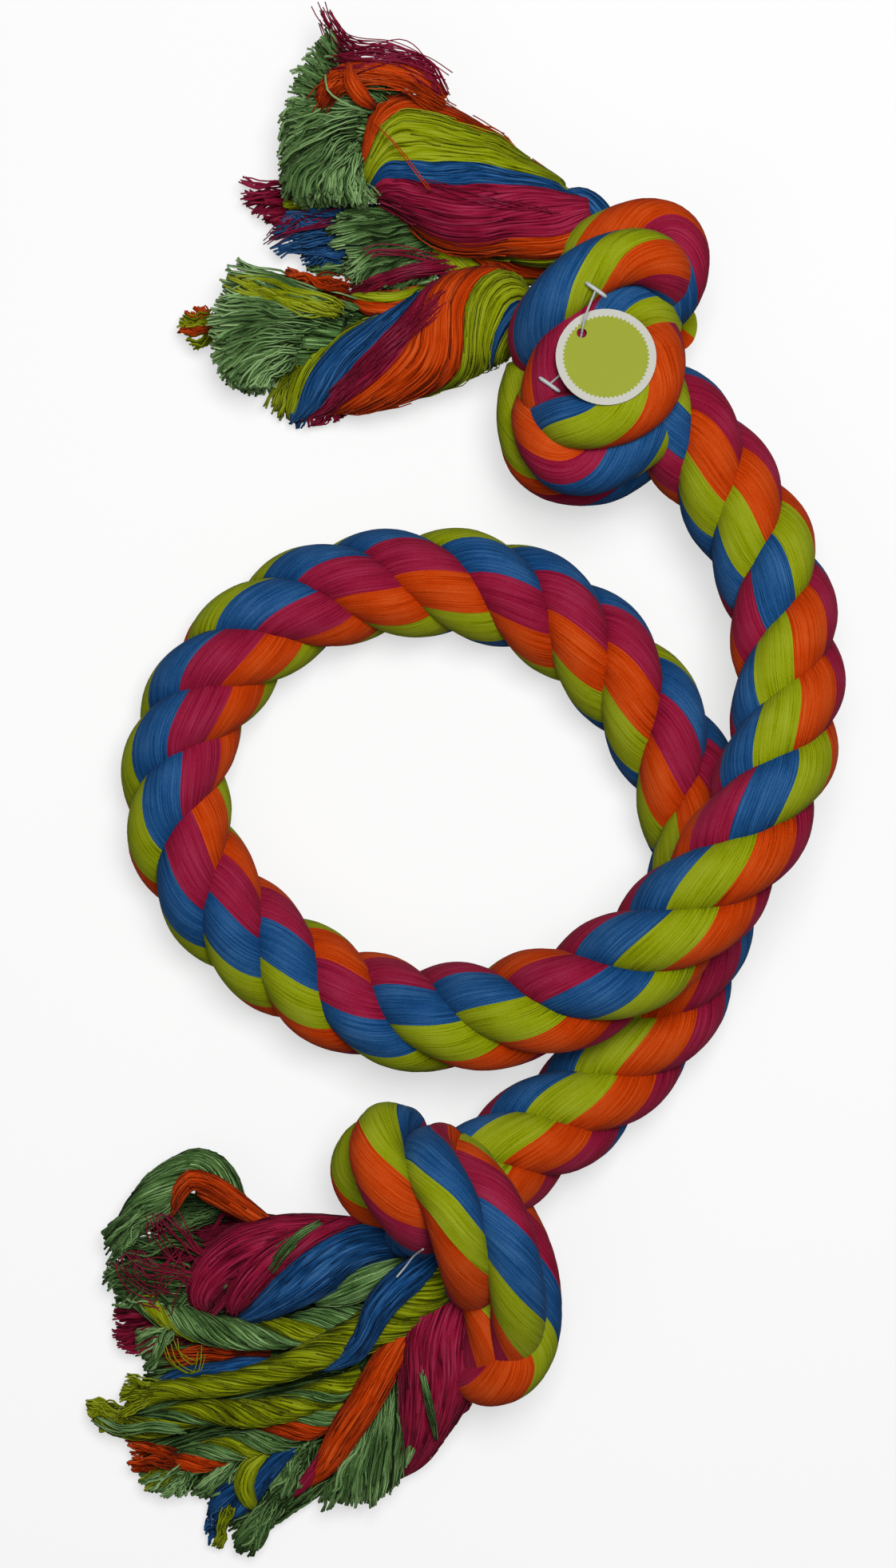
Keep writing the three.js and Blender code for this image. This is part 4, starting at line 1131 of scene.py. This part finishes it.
class ROPETOY_OT_tag(bpy.types.Operator):
    """Cuts the hang tag and runs its pin through the hole and the knot"""
    bl_idname = "ropetoy.tag"
    bl_label = "Hang tag"

    def execute(self, context):
        sizes = context.scene.tag_sizes
        bm = bmesh.new()
        hole = Matrix.Rotation(math.radians(HOLE_ANGLE), 4, "Z") @ Matrix.Translation((HOLE_OUT, 0, 0))
        bmesh.ops.create_circle(bm, segments=120, radius=sizes.across / 2)
        bmesh.ops.create_circle(bm, segments=32, radius=sizes.hole / 2, matrix=hole)
        bmesh.ops.triangle_fill(bm, use_beauty=True, edges=bm.edges[:])
        bmesh.ops.translate(bm, verts=bm.verts[:], vec=(0, 0, -CARD_THICK / 2))
        face = bmesh.ops.extrude_face_region(bm, geom=bm.faces[:])["geom"]
        raised = [v for v in face if isinstance(v, bmesh.types.BMVert)]
        bmesh.ops.translate(bm, verts=raised, vec=(0, 0, CARD_THICK))
        bmesh.ops.recalc_face_normals(bm, faces=bm.faces[:])
        # The map is in millimetres from the middle of the card.
        spread = bm.loops.layers.uv.new("card")
        for polygon in bm.faces:
            polygon.material_index = 0 if polygon.normal.z > 0.5 else 1
            for corner in polygon.loops:
                corner[spread].uv = corner.vert.co.xy / MM
        bmesh.ops.transform(bm, matrix=TAG_PLACE, verts=bm.verts[:])
        data = bpy.data.meshes.new("hang_tag")
        bm.to_mesh(data)
        bm.free()
        tag = bpy.data.objects.new("hang_tag", data)
        context.scene.collection.objects.link(tag)
        for kind in (printed_card(sizes), bare_card()):
            data.materials.append(kind)
        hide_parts("tag_card")
        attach(tag, "tag")

        # Each half of the pin runs from its bar, which stays in the knot, to the card's hole.
        plastic = clear_plastic()
        line, along = smooth(PIN_ROUTE, PIN_STEP)
        cut = int(np.linalg.norm(line - np.array(PIN_ROUTE[PIN_HOLE]), axis=1).argmin())
        way = np.array([math.cos(math.radians(PIN_BEARING)), math.sin(math.radians(PIN_BEARING)), 0])
        for name, part, end, solids, bend in (
                ("tag_fastener", slice(0, cut + 1), PIN_ROUTE[0], ["tag_pin"],
                 ((53.2, 197.6, 80), PIN_ROUTE[PIN_HOLE - 1])),
                ("tag_fastener_back", slice(cut, None), PIN_ROUTE[-1], [],
                 ((34.5, 159.5, 69.2), PIN_ROUTE[PIN_HOLE + 1]))):
            half = Skein()
            half.strand(line, along, carried(line, UP), PIN_THREAD, 0 * along, [0], sides=10, groove=0.0,
                        part=part)
            off = np.linspace(-PIN_BAR_HALF, PIN_BAR_HALF, len(PIN_BAR_SHARES))
            half.strand(np.array(end) + off[:, None] * way, off + PIN_BAR_HALF, np.tile(UP, (len(off), 1)),
                        PIN_BAR * PIN_BAR_SHARES, 0 * off, [0], sides=12, groove=0.0)
            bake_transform(half.piece(name, [plastic], "tag_pin", solids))

        left = Skein()
        line, along = smooth(placed(CUT_ROUTE), CUT_STEP)
        left.strand(line, along, carried(line, UP), CUT_THREAD, 0 * along, [0], sides=8, groove=0.0)
        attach(left.piece("cut_fastener", [plastic], "tag_pin"), "lower_tail")
        return {"FINISHED"}


def looked_at(tree):
    """One where a camera, glossy or transmission ray arrives, and none for light that spreads."""
    rays = add(tree, "LightPath").outputs
    shown = add(tree, "Math", {0: rays["Is Camera Ray"], 1: rays["Is Glossy Ray"]}, operation="MAXIMUM")
    return add(tree, "Math", {0: shown, 1: rays["Is Transmission Ray"]}, operation="MAXIMUM")


class ROPETOY_OT_stage(bpy.types.Operator):
    """Sets the pale floor, the soft light and the camera above the toy"""
    bl_idname = "ropetoy.stage"
    bl_label = "Stage"

    def execute(self, context):
        scene = context.scene
        scene.view_settings.view_transform = "Standard"
        camera = bpy.data.objects.new("camera", bpy.data.cameras.new("camera"))
        camera.location = (EYE_X * MM, 0, EYE * MM)
        camera.data.sensor_width = SENSOR
        camera.data.lens = SENSOR * (EYE - SEEN_AT) / PICTURE_TALL
        camera.data.clip_end = 20
        scene.collection.objects.link(camera)
        scene.camera = camera

        bm = bmesh.new()
        bmesh.ops.create_grid(bm, x_segments=2, y_segments=2, size=4)
        data = bpy.data.meshes.new("floor")
        bm.to_mesh(data)
        bm.free()
        floor = bpy.data.objects.new("floor", data)
        scene.collection.objects.link(floor)
        # Matt white paper sweep.
        material, tree = blank("paper_sweep")
        place = add(tree, "TexCoord").outputs["Object"]
        grain = add(tree, "TexNoise", {"Vector": place, "Scale": 3.0})
        tint = add(tree, "MapRange", {"Value": grain, "To Min": 0.97, "To Max": 1.0})
        # The camera sees it white, with a part of the toy's shadow. It gives back only part of the light.
        dim = add(tree, "BsdfDiffuse", {"Color": (0.25, 0.25, 0.25, 1)})
        paper = add(tree, "BsdfDiffuse", {"Color": tint})
        glow = add(tree, "Emission", {"Color": (1, 1, 1, 1), "Strength": 1.0})
        bright = add(tree, "MixShader", {0: 0.6, 1: paper, 2: glow})
        shader = add(tree, "MixShader", {0: looked_at(tree), 1: dim, 2: bright})
        add(tree, "OutputMaterial", {"Surface": shader})
        data.materials.append(material)

        world = bpy.data.worlds.new("studio")
        scene.world = world
        world.use_nodes = True
        world.node_tree.nodes.clear()
        tree = world.node_tree
        dim, white = (add(tree, "Background", {"Color": (1, 1, 1, 1), "Strength": power})
                      for power in (0.09, 1.0))
        shader = add(tree, "MixShader", {0: looked_at(tree), 1: dim, 2: white})
        add(tree, "OutputWorld", {"Surface": shader})
        for name, place, size, power in (("key", (0.2, 0.4, 1.7), 0.8, 27),
                                         ("fill", (-0.6, -0.4, 1.5), 1.2, 2)):
            lamp = bpy.data.objects.new(name, bpy.data.lights.new(name, "AREA"))
            lamp.data.size = size
            lamp.data.energy = power
            lamp.location = place
            lamp.rotation_euler = Vector(place).to_track_quat("Z", "Y").to_euler()
            scene.collection.objects.link(lamp)
        return {"FINISHED"}


class ROPETOY_PT_panel(bpy.types.Panel):
    bl_idname = "ROPETOY_PT_panel"
    bl_label = "Rope toy"
    bl_space_type = "VIEW_3D"
    bl_region_type = "UI"
    bl_category = "Rope toy"

    def draw(self, context):
        for group in (context.scene.rope_sizes, context.scene.yarn_colours, context.scene.tag_sizes):
            for key in group.__annotations__:
                self.layout.prop(group, key)
        for operator in OPERATORS:
            self.layout.operator(operator.bl_idname)


GROUPS = {"rope_sizes": RopeSizes, "yarn_colours": YarnColours, "tag_sizes": TagSizes}
OPERATORS = (ROPETOY_OT_stage, ROPETOY_OT_rope, ROPETOY_OT_knots, ROPETOY_OT_upper_tassel,
             ROPETOY_OT_lower_tassel, ROPETOY_OT_tag)


def register():
    for key, group in GROUPS.items():
        bpy.utils.register_class(group)
        setattr(bpy.types.Scene, key, PointerProperty(type=group))
    for kind in (*OPERATORS, ROPETOY_PT_panel):
        bpy.utils.register_class(kind)


def unregister():
    for kind in (ROPETOY_PT_panel, *reversed(OPERATORS)):
        bpy.utils.unregister_class(kind)
    for key, group in GROUPS.items():
        delattr(bpy.types.Scene, key)
        bpy.utils.unregister_class(group)


def main():
    register()
    bpy.ops.ropetoy.stage()
    bpy.ops.ropetoy.rope()
    bpy.ops.ropetoy.knots()
    bpy.ops.ropetoy.upper_tassel()
    bpy.ops.ropetoy.lower_tassel()
    bpy.ops.ropetoy.tag()


if __name__ == "__main__":
    main()
